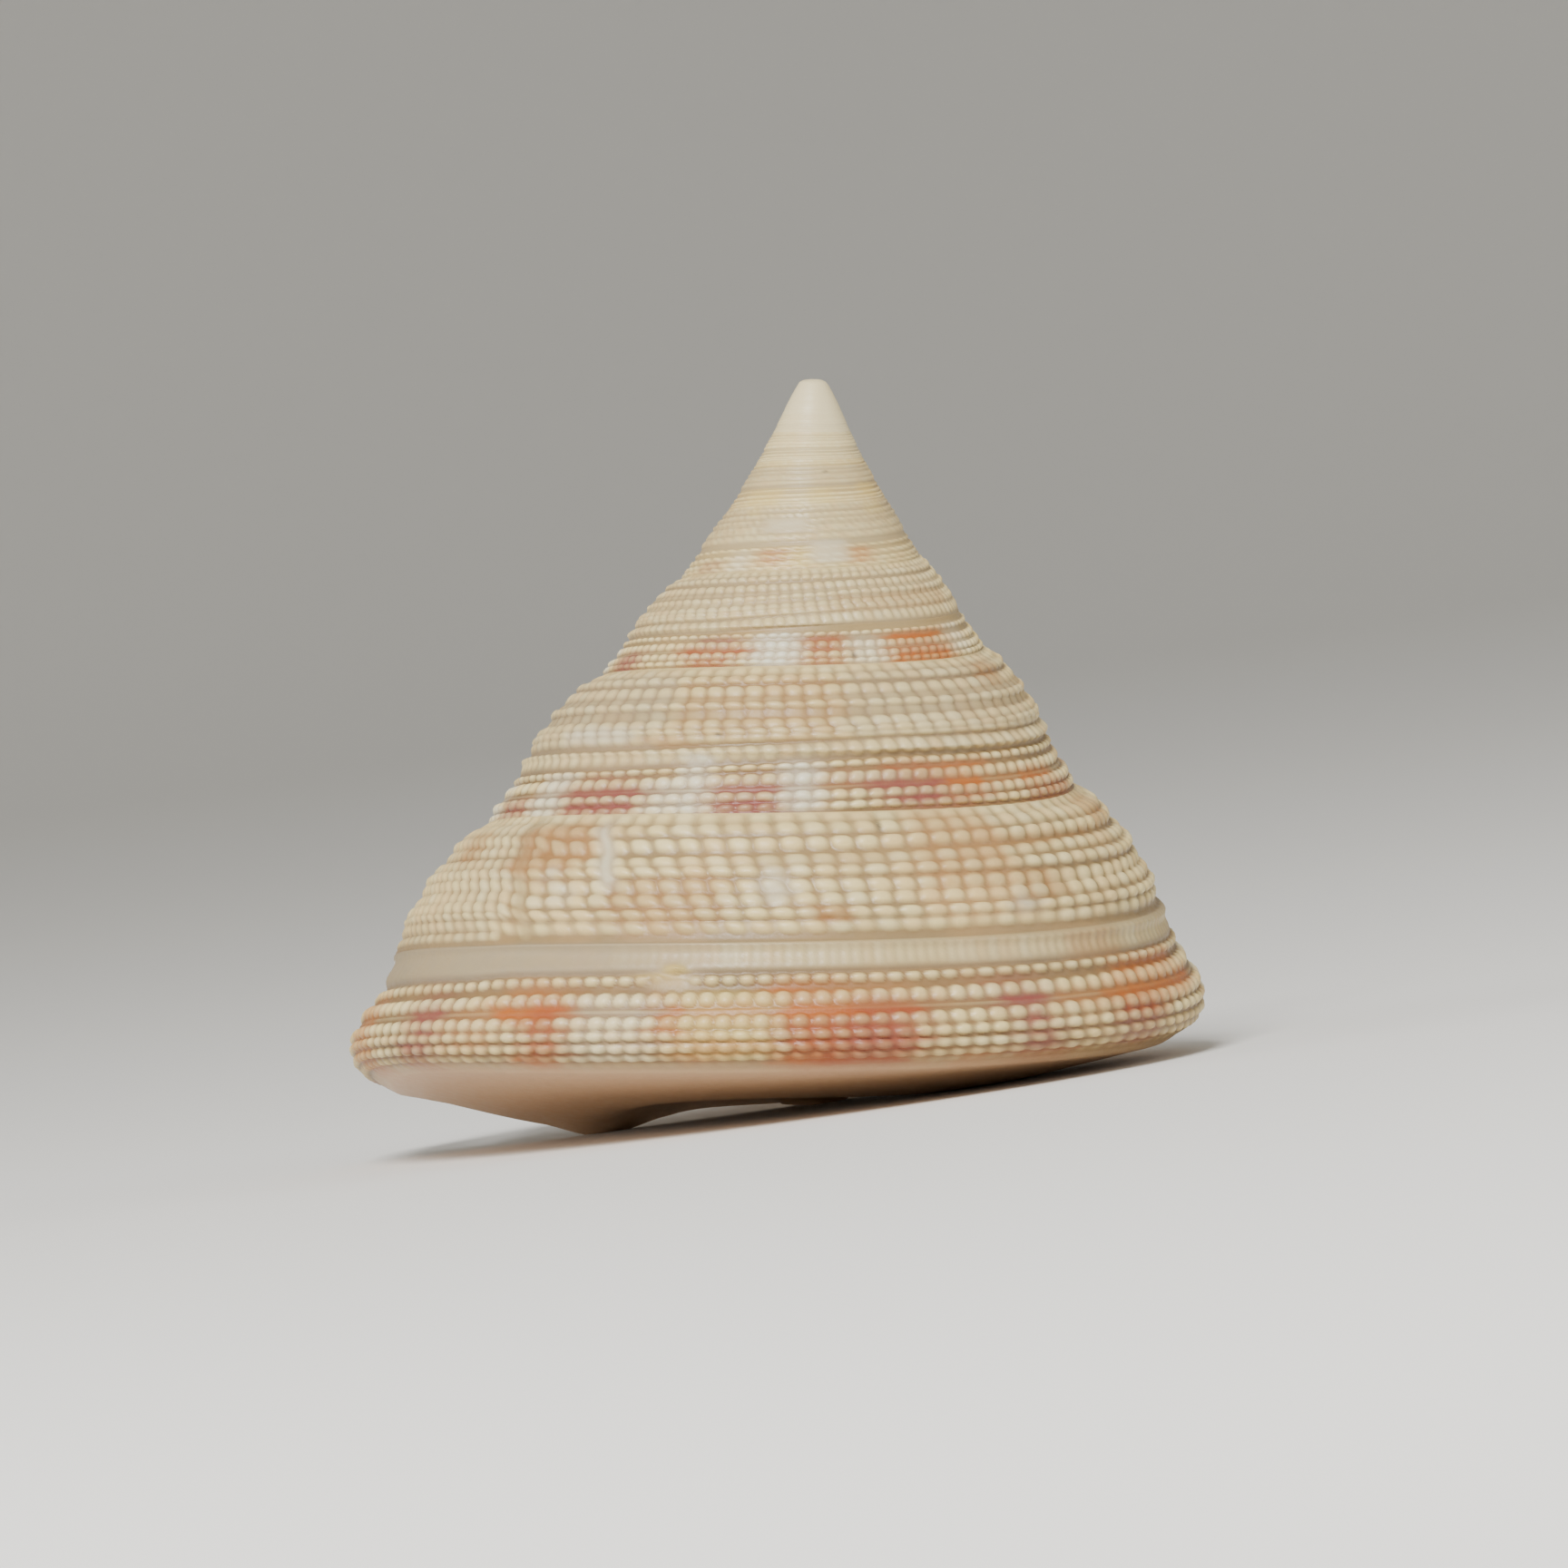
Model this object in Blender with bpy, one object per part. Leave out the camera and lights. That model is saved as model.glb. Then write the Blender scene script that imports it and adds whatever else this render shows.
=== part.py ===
"""A slit shell: a trochoid sea snail's shell, coiled to the right, as it rests on its base.

The shell is one piece, because it grew as one piece. Its wall is a widening tube wound round an
upright axis. A place along the tube is given by its turn: 0 is at the shell's left side, where the
last whorl is widest, 1 is one whorl closer to the apex, and a negative turn is closer to the lip.
The drawing is in millimetres with the apex at the origin. The finished mesh is in metres, turned
as the shell rests, with the middle of its box over the origin and its lowest point at z = 0.
"""
import math

import bmesh
import bpy
from mathutils import Matrix, Vector

NAME = "shell"
MM = 0.001

# Growth of the tube, in millimetres and shares per turn
EDGE_RADIUS = 28.15
RADIUS_PER_TURN = 0.6634
EDGE_DEPTH = 41.5
DEPTH_PER_TURN = 0.6602
LAST_NARROWING = 0.028
NARROWING_TURNS = 0.2
SPIRE_SLIMMING = 0.08
SLIM_FROM_TURN = 2.2
SLIM_TO_TURN = 3.4
WAIST = 0.035
WAIST_TURN = 2.0
WAIST_REACH = 0.22
LEAN = 0.10
APEX_BLUNTING = 0.68
APEX_REACH = 3.1

# Columns of the mesh, each one a growth line
COLUMNS_PER_TURN = 32
FIRST_TURN = 7.0
LIP_TURN = -0.07
SUTURE_LEAD_COLUMNS = 2

# Outside of a whorl, from its upper suture to its edge: shares of the way down and of the way out
BAND = [
    (0.00, 0.00),
    (0.07, 0.20),
    (0.15, 0.29),
    (0.24, 0.43),
    (0.33, 0.49),
    (0.42, 0.60),
    (0.52, 0.645),
    (0.58, 0.71),
    (0.61, 0.70),
    (0.685, 0.765),
    (0.755, 0.80),
    (0.86, 0.92),
    (1.00, 1.00),
]
FULL_RELIEF_TURN = 1.4
LOW_RELIEF_TURN = 3.2
LOW_RELIEF = 0.2

# Base of the last whorl, from its edge to the ring that it rests on and up to the axis: shares of
# the edge's radius, out from the axis and down from the edge
BASE = [
    (0.985, 0.05),
    (0.94, 0.085),
    (0.85, 0.115),
    (0.72, 0.145),
    (0.58, 0.172),
    (0.46, 0.188),
    (0.33, 0.158),
    (0.20, 0.135),
]
RING_ROW = len(BAND) + 5
SHALLOW_SHARE = 0.09
SHALLOW_TURN = 0.25
SHALLOW_REACH = 0.20
FOOT_RADIUS = 2.0
FOOT_DEPTH = 42.5
PILLAR_BLEND = {len(BAND) + 6: 0.10, len(BAND) + 7: 0.45}
BASE_TRAIL = 0.038
CORNER_DROP = 0.28

# Inside of the tube, in the same order of rows. Each point belongs to the outer wall (shares of the
# way down and out, as in BAND), to the floor (as in BASE) or to the roof (BASE of the whorl before)
INSIDE = [
    ("wall", 0.105, 0.03),
    ("wall", 0.18, 0.12),
    ("wall", 0.24, 0.22),
    ("wall", 0.32, 0.33),
    ("wall", 0.40, 0.41),
    ("wall", 0.48, 0.485),
    ("wall", 0.575, 0.56),
    ("wall", 0.62, 0.595),
    ("wall", 0.65, 0.61),
    ("wall", 0.71, 0.665),
    ("wall", 0.775, 0.715),
    ("wall", 0.89, 0.83),
    ("wall", 1.00, 0.872),
    ("floor", 0.945, 0.030),
    ("floor", 0.905, 0.052),
    ("floor", 0.83, 0.077),
    ("floor", 0.71, 0.107),
    ("floor", 0.58, 0.132),
    ("floor", 0.45, 0.145),
    ("floor", 0.32, 0.132),
    ("floor", 0.20, 0.095),
    ("floor", 0.125, 0.030),
    ("floor", 0.105, -0.080),
    ("roof", 0.165, 0.43),
    ("roof", 0.21, 0.30),
    ("roof", 0.33, 0.235),
    ("roof", 0.46, 0.215),
    ("roof", 0.58, 0.199),
    ("roof", 0.72, 0.174),
    ("roof", 0.85, 0.145),
    ("roof", 0.935, 0.118),
    ("roof", 0.985, 0.086),
]
CAVITY_TURNS = 1.15

# The open slit in the lip: between these rows, this many columns long
SLIT_TOP_ROW = 8
SLIT_BOTTOM_ROW = 10
SLIT_COLUMNS = 3

# Rounded tip: rings as shares of the first ring's radius and depth
TIP_RINGS = [(0.84, 0.72), (0.69, 0.45), (0.50, 0.13), (0.28, 0.02)]

# How the shell rests: it rolls onto its base and onto the corner of its lip
REST_ROLL = math.radians(8.2)
REST_PITCH = math.radians(0.0)
WORN_FLAT = 0.32

LAST_COLUMN = round((FIRST_TURN - LIP_TURN) * COLUMNS_PER_TURN)
WHORL_COLUMNS = COLUMNS_PER_TURN - SUTURE_LEAD_COLUMNS
BASE_COLUMN = LAST_COLUMN - WHORL_COLUMNS
EDGE_ROW = len(BAND) - 1
FOOT_ROW = len(BAND) + len(BASE)


def blend(low, high, share):
    """The value a share of the way from low to high."""
    return low + (high - low) * share


def ramp(turn, start, end):
    """Rises evenly from 0 at the start turn to 1 at the end turn."""
    return min(max((turn - start) / (end - start), 0.0), 1.0)


def edge_radius(turn):
    """Radius of the whorl's edge. It shrinks by the same share each turn, to a slim, blunt tip, with
    a slight waist on the left of the spire."""
    narrowing = LAST_NARROWING * math.exp(-max(turn, 0.0) / NARROWING_TURNS)
    slimming = SPIRE_SLIMMING * ramp(turn, SLIM_FROM_TURN, SLIM_TO_TURN)
    waist = WAIST * math.exp(-(((turn - WAIST_TURN) / WAIST_REACH) ** 2))
    radius = EDGE_RADIUS * RADIUS_PER_TURN ** turn * (1.0 - narrowing) * (1.0 - slimming - waist)
    return radius + APEX_BLUNTING * math.exp(-((edge_depth(turn) / APEX_REACH) ** 2))


def edge_depth(turn):
    """Depth of the whorl's edge below the apex, before the lean."""
    return EDGE_DEPTH * DEPTH_PER_TURN ** turn


def bearing(turn):
    """Angle round the axis: 180 degrees at turn 0, and a quarter turn back is at the front."""
    return math.pi * (1.0 + 2.0 * turn)


def place(turn, radius, depth):
    """A point in space from its turn, its radius and its depth below the apex."""
    angle = bearing(turn)
    return Vector((radius * math.cos(angle), radius * math.sin(angle), -depth))


def edge_of(turn):
    """Radius and depth of the edge at a turn, lean included: its right side hangs lower."""
    radius = edge_radius(turn)
    return radius, edge_depth(turn) + LEAN * radius * math.cos(bearing(turn))


def on_band(turn, down, out):
    """A point between the upper suture, which is the edge one turn back, and the edge."""
    upper_radius, upper_depth = edge_of(turn + 1.0)
    radius, depth = edge_of(turn)
    return place(turn, blend(upper_radius, radius, out), blend(upper_depth, depth, down))


def on_base(turn, out, down):
    """A point below the edge, in shares of the edge's radius. The front left is a bit shallower."""
    radius, depth = edge_of(turn)
    shallow = SHALLOW_SHARE * math.exp(-(((turn - SHALLOW_TURN) / SHALLOW_REACH) ** 2))
    return place(turn, out * radius, depth + down * radius * (1.0 - shallow))


def growth_line(turn, row):
    """Turn of a point on the growth line that starts at this turn: the line leads at the suture
    by a few columns, trails a little under the base and ends level at the axis."""
    if row <= EDGE_ROW:
        lead = SUTURE_LEAD_COLUMNS / COLUMNS_PER_TURN * (1.0 - BAND[row][0])
        return turn - lead
    share = (row - EDGE_ROW) / (RING_ROW - EDGE_ROW)
    return turn + BASE_TRAIL * math.sin(math.pi / 2.0 * min(share, 2.0 - share))


def relief(turn):
    """How strongly the whorl bulges: fully on the last whorls, and hardly at all near the apex."""
    return blend(1.0, LOW_RELIEF, ramp(turn, FULL_RELIEF_TURN, LOW_RELIEF_TURN))


def outside_point(column, row):
    """A point of the shell's outside, by its column and row."""
    start = FIRST_TURN - column / COLUMNS_PER_TURN
    turn = growth_line(start, row)
    if row <= EDGE_ROW:
        down, out = BAND[row]
        return on_band(turn, down, blend(down, out, relief(turn)))
    if row == FOOT_ROW:
        return place(turn, FOOT_RADIUS, FOOT_DEPTH)
    out, down = BASE[row - EDGE_ROW - 1]
    point = on_base(turn, out, down)
    point.z = blend(point.z, -FOOT_DEPTH, PILLAR_BLEND.get(row, 0.0))
    if column == LAST_COLUMN and row == RING_ROW:
        point.z -= CORNER_DROP
    return point


def inside_point(column, row):
    """A point of the tube's inside. Rows past the foot run back up the pillar and the roof."""
    start = FIRST_TURN - column / COLUMNS_PER_TURN
    mirrored = row if row <= FOOT_ROW else max(2 * FOOT_ROW + 2 - row, EDGE_ROW + 1)
    turn = growth_line(start, min(mirrored, FOOT_ROW))
    part, first, second = INSIDE[row]
    if part == "wall":
        return on_band(turn, first, second)
    if part == "floor":
        return on_base(turn, first, second)
    return on_base(turn + 1.0, first, second)


def add_outside(mesh):
    """Adds the outside's points. A whorl's upper suture shares the points of the edge above it."""
    grid = []
    for column in range(LAST_COLUMN + 1):
        rows = FOOT_ROW if column >= BASE_COLUMN else EDGE_ROW
        points = []
        for row in range(rows + 1):
            if row == 0 and column >= WHORL_COLUMNS:
                points.append(grid[column - WHORL_COLUMNS][EDGE_ROW])
            else:
                points.append(mesh.verts.new(outside_point(column, row)))
        grid.append(points)
    return grid


def add_inside(mesh):
    """Adds the inside's loops of points, by column, from the lip to the closed end."""
    last_inside = LAST_COLUMN - round(CAVITY_TURNS * COLUMNS_PER_TURN)
    grid = {}
    for column in range(last_inside, LAST_COLUMN + 1):
        grid[column] = [mesh.verts.new(inside_point(column, row)) for row in range(len(INSIDE))]
    return grid


def in_slit(column, row):
    """Whether the face that starts at this column and row is in the open slit."""
    return column >= LAST_COLUMN - SLIT_COLUMNS and SLIT_TOP_ROW <= row < SLIT_BOTTOM_ROW


def join_outside(mesh, grid):
    """Joins neighbouring columns of the outside with faces, apart from the slit."""
    for column in range(LAST_COLUMN):
        here = grid[column]
        there = grid[column + 1]
        for row in range(min(len(here), len(there)) - 1):
            if not in_slit(column, row):
                mesh.faces.new((here[row], here[row + 1], there[row + 1], there[row]))


def join_inside(mesh, grid):
    """Joins the inside's loops with faces, apart from the slit, and closes the far end."""
    count = len(INSIDE)
    for column in range(min(grid), LAST_COLUMN):
        here = grid[column]
        there = grid[column + 1]
        for row in range(count):
            after = (row + 1) % count
            if not in_slit(column, row):
                mesh.faces.new((here[row], there[row], there[after], here[after]))
    end = grid[min(grid)]
    middle = sum((point.co for point in end), Vector()) / count
    close_fan(mesh, end, mesh.verts.new(middle))


def close_fan(mesh, loop, centre):
    """Closes a loop of points with triangles to a centre."""
    for number, point in enumerate(loop):
        after = loop[(number + 1) % len(loop)]
        mesh.faces.new((point, after, centre))


def join_foot(mesh, grid):
    """Closes the base round the axis, and gives the foot's middle point."""
    centre = mesh.verts.new((0.0, 0.0, -FOOT_DEPTH))
    for column in range(BASE_COLUMN, LAST_COLUMN):
        mesh.faces.new((grid[column][FOOT_ROW], centre, grid[column + 1][FOOT_ROW]))
    return centre


def join_lip(mesh, outside, inside, centre):
    """Joins the lip's outer edge to its inner edge, leaving the slit's mouth open."""
    outer = list(outside[LAST_COLUMN])
    outer.append(centre)
    outer.extend(reversed(outside[BASE_COLUMN][EDGE_ROW + 1:]))
    inner = inside[LAST_COLUMN]
    for row, point in enumerate(outer):
        after = (row + 1) % len(outer)
        if not SLIT_TOP_ROW <= row < SLIT_BOTTOM_ROW:
            mesh.faces.new((point, outer[after], inner[after], inner[row]))


def join_slit(mesh, outside, inside):
    """Adds the slit's two long walls and its rounded-off end."""
    first = LAST_COLUMN - SLIT_COLUMNS
    for column in range(first, LAST_COLUMN):
        for row in (SLIT_TOP_ROW, SLIT_BOTTOM_ROW):
            mesh.faces.new((
                outside[column][row],
                outside[column + 1][row],
                inside[column + 1][row],
                inside[column][row],
            ))
    for row in range(SLIT_TOP_ROW, SLIT_BOTTOM_ROW):
        mesh.faces.new((
            outside[first][row],
            outside[first][row + 1],
            inside[first][row + 1],
            inside[first][row],
        ))


def join_tip(mesh, grid):
    """Closes the first whorl with a rounded tip."""
    ring = [grid[column][0] for column in range(WHORL_COLUMNS)]
    start = list(grid[0])
    for share_out, share_down in TIP_RINGS:
        smaller = [
            mesh.verts.new((p.co.x * share_out, p.co.y * share_out, p.co.z * share_down))
            for p in (grid[column][0] for column in range(WHORL_COLUMNS))
        ]
        for number, point in enumerate(ring[:-1]):
            mesh.faces.new((point, ring[number + 1], smaller[number + 1], smaller[number]))
        if ring[0] is start[0]:
            mesh.faces.new((ring[-1], start[-1], smaller[0], smaller[-1]))
            for number in range(len(start) - 1):
                mesh.faces.new((smaller[0], start[number + 1], start[number]))
        else:
            mesh.faces.new((ring[-1], ring[0], smaller[0], smaller[-1]))
        ring = smaller
    close_fan(mesh, ring, mesh.verts.new((0.0, 0.0, 0.0)))


def settle(mesh):
    """Turns the shell as it rests, wears small flats where it touches, and puts it at the origin."""
    turn = Matrix.Rotation(REST_ROLL, 4, "Y") @ Matrix.Rotation(REST_PITCH, 4, "X")
    bmesh.ops.transform(mesh, matrix=turn, verts=mesh.verts)
    lowest = min(point.co.z for point in mesh.verts) + WORN_FLAT
    for point in mesh.verts:
        point.co.z = max(point.co.z, lowest)
    sides = []
    for axis in (0, 1):
        values = [point.co[axis] for point in mesh.verts]
        sides.append((min(values) + max(values)) / 2.0)
    bmesh.ops.translate(mesh, vec=(-sides[0], -sides[1], -lowest), verts=mesh.verts)
    bmesh.ops.scale(mesh, vec=(MM, MM, MM), verts=mesh.verts)


def shell_material():
    """Cream and peach calcite, satin like a dry shell."""
    material = bpy.data.materials.new("shell_calcite")
    material.use_nodes = True
    surface = material.node_tree.nodes["Principled BSDF"]
    surface.inputs["Base Color"].default_value = (0.66, 0.52, 0.36, 1.0)
    surface.inputs["Roughness"].default_value = 0.45
    surface.inputs["Metallic"].default_value = 0.0
    return material


def build_shell():
    """The shell as one closed mesh."""
    mesh = bmesh.new()
    outside = add_outside(mesh)
    inside = add_inside(mesh)
    join_outside(mesh, outside)
    join_inside(mesh, inside)
    centre = join_foot(mesh, outside)
    join_lip(mesh, outside, inside, centre)
    join_slit(mesh, outside, inside)
    join_tip(mesh, outside)
    settle(mesh)
    bmesh.ops.triangulate(mesh, faces=mesh.faces)
    bmesh.ops.recalc_face_normals(mesh, faces=mesh.faces)
    data = bpy.data.meshes.new(NAME)
    mesh.to_mesh(data)
    mesh.free()
    data.materials.append(shell_material())
    data.shade_smooth()
    return bpy.data.objects.new(NAME, data)


def main():
    """Empties the scene and puts the shell in a collection of its own."""
    for old in list(bpy.data.objects):
        bpy.data.objects.remove(old)
    collection = bpy.data.collections.new("slit_shell")
    bpy.context.scene.collection.children.link(collection)
    collection.objects.link(build_shell())


main()
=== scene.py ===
# %% [markdown]
# # A slit shell and its beads
# A slit shell is a sea snail's shell that coils into a cone. Its outside is a band wound round the
# axis, covered with rows of small beads, and its lip is split by a slit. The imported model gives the
# shell's true size and place. This script grows the same shell again from the same formulas, much
# more finely, and adds the beads, the colours and the wear.

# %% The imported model
import math

import bpy
import numpy as np
from mathutils import Matrix, Vector


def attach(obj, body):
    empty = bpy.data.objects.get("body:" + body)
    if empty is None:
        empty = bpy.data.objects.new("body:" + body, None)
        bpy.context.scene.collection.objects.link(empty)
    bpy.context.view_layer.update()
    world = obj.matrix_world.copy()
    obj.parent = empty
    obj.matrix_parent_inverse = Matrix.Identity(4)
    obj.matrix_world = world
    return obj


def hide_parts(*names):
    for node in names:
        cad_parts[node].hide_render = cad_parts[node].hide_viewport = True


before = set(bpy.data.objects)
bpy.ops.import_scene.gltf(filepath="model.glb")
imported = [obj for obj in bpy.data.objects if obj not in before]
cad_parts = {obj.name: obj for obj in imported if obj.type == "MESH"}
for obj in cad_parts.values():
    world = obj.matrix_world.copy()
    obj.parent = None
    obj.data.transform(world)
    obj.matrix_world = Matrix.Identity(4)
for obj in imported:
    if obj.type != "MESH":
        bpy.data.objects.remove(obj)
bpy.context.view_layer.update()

# %% [markdown]
# ## How the shell grows
# A snail adds shell at its lip and keeps its shape while it gets bigger, so each turn of the coil is
# larger than the one before by the same share. A place along the coil is its turn: 0 is at the left
# side of the last whorl, 0.25 at the front, and 1 is one whorl closer to the apex. Sizes are in
# millimetres with the apex at the origin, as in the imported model's own source.
#
# The coil could be a curve with a profile swept along it. But a swept profile keeps its shape, and
# this one changes as the shell grows, so formulas give the edge's radius and depth at any turn.

# %% Growth of the whorl's edge
MM = 0.001
EDGE_RADIUS = 28.15
RADIUS_PER_TURN = 0.6634
EDGE_DEPTH = 41.5
DEPTH_PER_TURN = 0.6602
LAST_NARROWING = 0.034
NARROWING_TURNS = 0.2
SPIRE_SLIMMING = 0.08
SLIM_TURNS = (2.2, 3.4)
SWELL = 0.020
SWELL_TURN = 1.03
SWELL_REACH = 0.18
LEAN = 0.10
SAG = 0.30
SAG_SHIFT = 0.8
SAG_TURN = 0.02
SAG_TURNS = (5.5, 3.0)
SAG_END_GIRTH = 1.5
TUCKS = ((0.04, 1.35, 0.40), (0.37, 1.45, 0.28))
TUCK_TURNS = 0.08
TUCK_GIRTH = 0.30
APEX_BLUNTING = 0.68
APEX_REACH = 3.1


def blend(low, high, share):
    """The value a share of the way from low to high."""
    return low + (high - low) * share


def ramp(value, start, end):
    """Rises evenly from 0 at the start to 1 at the end."""
    return np.clip((value - start) / (end - start), 0.0, 1.0)


def bump(value, centre, reach):
    """A bell: 1 at the centre, and about a third at the reach."""
    return np.exp(-(((value - centre) / reach) ** 2))


def edge_of(turn):
    """Radius and depth of the edge: both shrink by the same share each turn. The radius has a slight
    swell and a blunt tip, and the depth adds a lean that lowers the right side, and a sag."""
    depth = EDGE_DEPTH * DEPTH_PER_TURN ** turn
    narrowing = LAST_NARROWING * np.exp(-np.maximum(turn, 0.0) / NARROWING_TURNS)
    slimming = SPIRE_SLIMMING * ramp(turn, *SLIM_TURNS)
    thinning = slimming - SWELL * bump(turn, SWELL_TURN, SWELL_REACH)
    radius = EDGE_RADIUS * RADIUS_PER_TURN ** turn * (1.0 - narrowing) * (1.0 - thinning)
    radius = radius + APEX_BLUNTING * bump(depth, 0.0, APEX_REACH)
    return radius, depth + LEAN * radius * np.cos(bearing(turn)) + sag_of(turn)


def sag_of(turn):
    """How much lower the coil lies at its left than a plain spiral: a wave once a turn, which grows
    from nothing at the apex."""
    wave = SAG_SHIFT + np.cos(2.0 * math.pi * (turn - SAG_TURN))
    return SAG * wave * ramp(turn, *SAG_TURNS)


def base_rise(turn, girth):
    """How much higher the base lies than under a plain spiral: the sag fades out below the edge, and
    two soft tucks hold the base up near its left and its right."""
    rise = sag_of(turn) * ramp(girth, 1.0, SAG_END_GIRTH)
    for tuck_turn, tuck_girth, tuck in TUCKS:
        rise = rise + tuck * bump(turn, tuck_turn, TUCK_TURNS) * bump(girth, tuck_girth, TUCK_GIRTH)
    return rise


def bearing(turn):
    """Angle round the axis: half a circle at turn 0, and then one circle for each turn."""
    return math.pi * (1.0 + 2.0 * turn)


def place(turn, radius, depth):
    """Points in space from their turns, radii and depths below the apex."""
    angle = bearing(turn)
    return np.stack(np.broadcast_arrays(radius * np.cos(angle), radius * np.sin(angle), -depth), axis=-1)


print("edge radius at turns 0 to 3", np.round(edge_of(np.arange(4.0))[0], 1))

# %% [markdown]
# ## The outline of one whorl
# Every growth line has the same outline: from the suture, where the whorl meets the one above, down
# the beaded band to the edge, then under the shell to the ring that it stands on, and up to the
# foot of the pillar. How far along the outline a point lies is its girth: 0 at the suture, 1 at the
# edge, and more under the base.
#
# Straight lines between the points would show as corners, and rounding them later would move the
# suture. So a smooth cubic runs through every point.

# %% Outline points and the curve through them
# Share of the way down from the edge above to this one, and share of the way out
BAND = np.array([
    (0.00, 0.00), (0.07, 0.20), (0.15, 0.29), (0.24, 0.43), (0.33, 0.49), (0.42, 0.60), (0.52, 0.645),
    (0.58, 0.71), (0.61, 0.70), (0.685, 0.765), (0.755, 0.80), (0.86, 0.92), (1.00, 1.00),
])
# Shares of the edge's radius: how far out, and how far below the edge
BASE = np.array([
    (0.985, 0.05), (0.94, 0.085), (0.85, 0.115), (0.72, 0.145), (0.58, 0.172), (0.46, 0.188),
    (0.33, 0.158), (0.20, 0.135), (0.08, 0.120),
])
EDGE_ROW = len(BAND) - 1
RING_ROW = len(BAND) + 5
FOOT_ROW = len(BAND) + len(BASE) - 1
RADII_PER_BAND = 1.94
SUTURE_LEAD = 2.0 / 32.0
BASE_TRAIL = 0.038
RELIEF_TURNS = (1.4, 3.2)
LOW_RELIEF = 0.2
SHALLOW_SHARE = 0.09
SHALLOW_TURN = 0.25
SHALLOW_REACH = 0.20
FOOT_RADIUS = 2.0
FOOT_DEPTH = 42.5
FOOT_PULL = (0.10, 0.45, 1.0)
CORNER_DROP = 0.28
COLUMN = 1.0 / 32.0
LIP_START = -2.0 * COLUMN


def outline_rows():
    """The outline's points as columns of numbers, one row for each point: girth, share down, bulge,
    narrowing towards the axis, drop below the edge, pull to the foot in depth and radius, and lag."""
    count = len(BAND) + len(BASE)
    rows = np.zeros((count, 8))
    steps = np.diff(np.vstack([(1.0, 0.0), BASE]), axis=0)
    under = 1.0 + RADII_PER_BAND * np.cumsum(np.hypot(steps[:, 0], steps[:, 1]))
    rows[:, 0] = np.concatenate([BAND[:, 0], under])
    rows[:, 1] = np.minimum(rows[:, 0], 1.0)
    rows[:len(BAND), 2] = BAND[:, 1] - BAND[:, 0]
    rows[:, 3] = 1.0
    rows[len(BAND):, 3] = BASE[:, 0]
    rows[len(BAND):, 4] = BASE[:, 1]
    rows[FOOT_ROW - 2:, 5] = FOOT_PULL
    rows[FOOT_ROW, 6] = 1.0
    share = (np.arange(count) - EDGE_ROW) / (RING_ROW - EDGE_ROW)
    trail = BASE_TRAIL * np.sin(math.pi / 2.0 * np.minimum(share, 2.0 - share))
    rows[:, 7] = np.where(share > 0.0, trail, -SUTURE_LEAD * (1.0 - rows[:, 1]))
    return rows


OUTLINE = outline_rows()
GIRTHS = OUTLINE[:, 0]


def through(where, knots, values):
    """A smooth curve through the values at the knots. Each stretch is a cubic, and its slopes are
    those of the points on both sides."""
    slopes = np.gradient(values, knots, axis=0)
    index = np.clip(np.searchsorted(knots, where, side="right") - 1, 0, len(knots) - 2)
    step = (knots[index + 1] - knots[index])[:, None]
    share = (where - knots[index])[:, None] / step
    rise = share * share * (3.0 - 2.0 * share)
    pull = slopes[index] * (1.0 - share) - slopes[index + 1] * share
    return blend(values[index], values[index + 1], rise) + step * pull * share * (1.0 - share)


def outside(start, girth):
    """The smooth outside as points and their turns. A growth line begins at its start turn. Radius
    and depth go from the edge above to this edge by the outline's shares, and under the edge the
    radius shrinks towards the axis while the depth drops by a share of the edge's radius."""
    across = through(girth, GIRTHS, OUTLINE[:, 1:])
    down, bulge, narrow, drop, pull, foot, lag = across.T[:, None, :]
    turn = start[:, None] + lag
    upper_radius, upper_depth = edge_of(turn + 1.0)
    radius, depth = edge_of(turn)
    relief = blend(1.0, LOW_RELIEF, ramp(turn, *RELIEF_TURNS))
    shallow = 1.0 - SHALLOW_SHARE * bump(turn, SHALLOW_TURN, SHALLOW_REACH)
    wide = blend(upper_radius, radius, down + bulge * relief) * narrow
    deep = blend(upper_depth, depth, down) + drop * radius * shallow
    deep = deep - base_rise(turn, girth)
    corner = np.interp(girth, GIRTHS[RING_ROW - 1:RING_ROW + 2], (0.0, 1.0, 0.0))
    deep = deep + CORNER_DROP * corner * ramp(start, LIP_START + COLUMN, LIP_START)[:, None]
    deep = blend(deep, FOOT_DEPTH, pull)
    return place(turn, blend(wide, FOOT_RADIUS, foot), deep), turn


print("the outline has", len(OUTLINE), "points and a girth of", round(GIRTHS[-1], 2))

# %% [markdown]
# ## Rest
# The shell lies a little to its right, on a worn flat of its base, the foot of its pillar and the
# corner of its lip. The roll comes first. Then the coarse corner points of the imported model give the
# shift that puts the middle of the box over the origin and the worn flat on the floor. Turning the
# objects would be shorter, but every object has to stay unturned at the origin, so the points move.

# %% From drawing to place
ROLL = math.radians(8.2)
WORN_FLAT = 0.32
BASE_START = LIP_START + 30 * COLUMN
ROLL_MATRIX = np.array([
    (math.cos(ROLL), 0.0, math.sin(ROLL)),
    (0.0, 1.0, 0.0),
    (-math.sin(ROLL), 0.0, math.cos(ROLL)),
])


def find_shift():
    """The point of the rolled drawing that comes to the origin: the middle of its box in x and y,
    and its lowest height plus the wear."""
    corners, _ = outside(LIP_START + COLUMN * np.arange(31), GIRTHS)
    corners = (corners @ ROLL_MATRIX.T).reshape(-1, 3)
    middle = (corners.min(axis=0) + corners.max(axis=0)) / 2.0
    return np.array([middle[0], middle[1], corners[:, 2].min() + WORN_FLAT])


SHIFT = find_shift()


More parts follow.
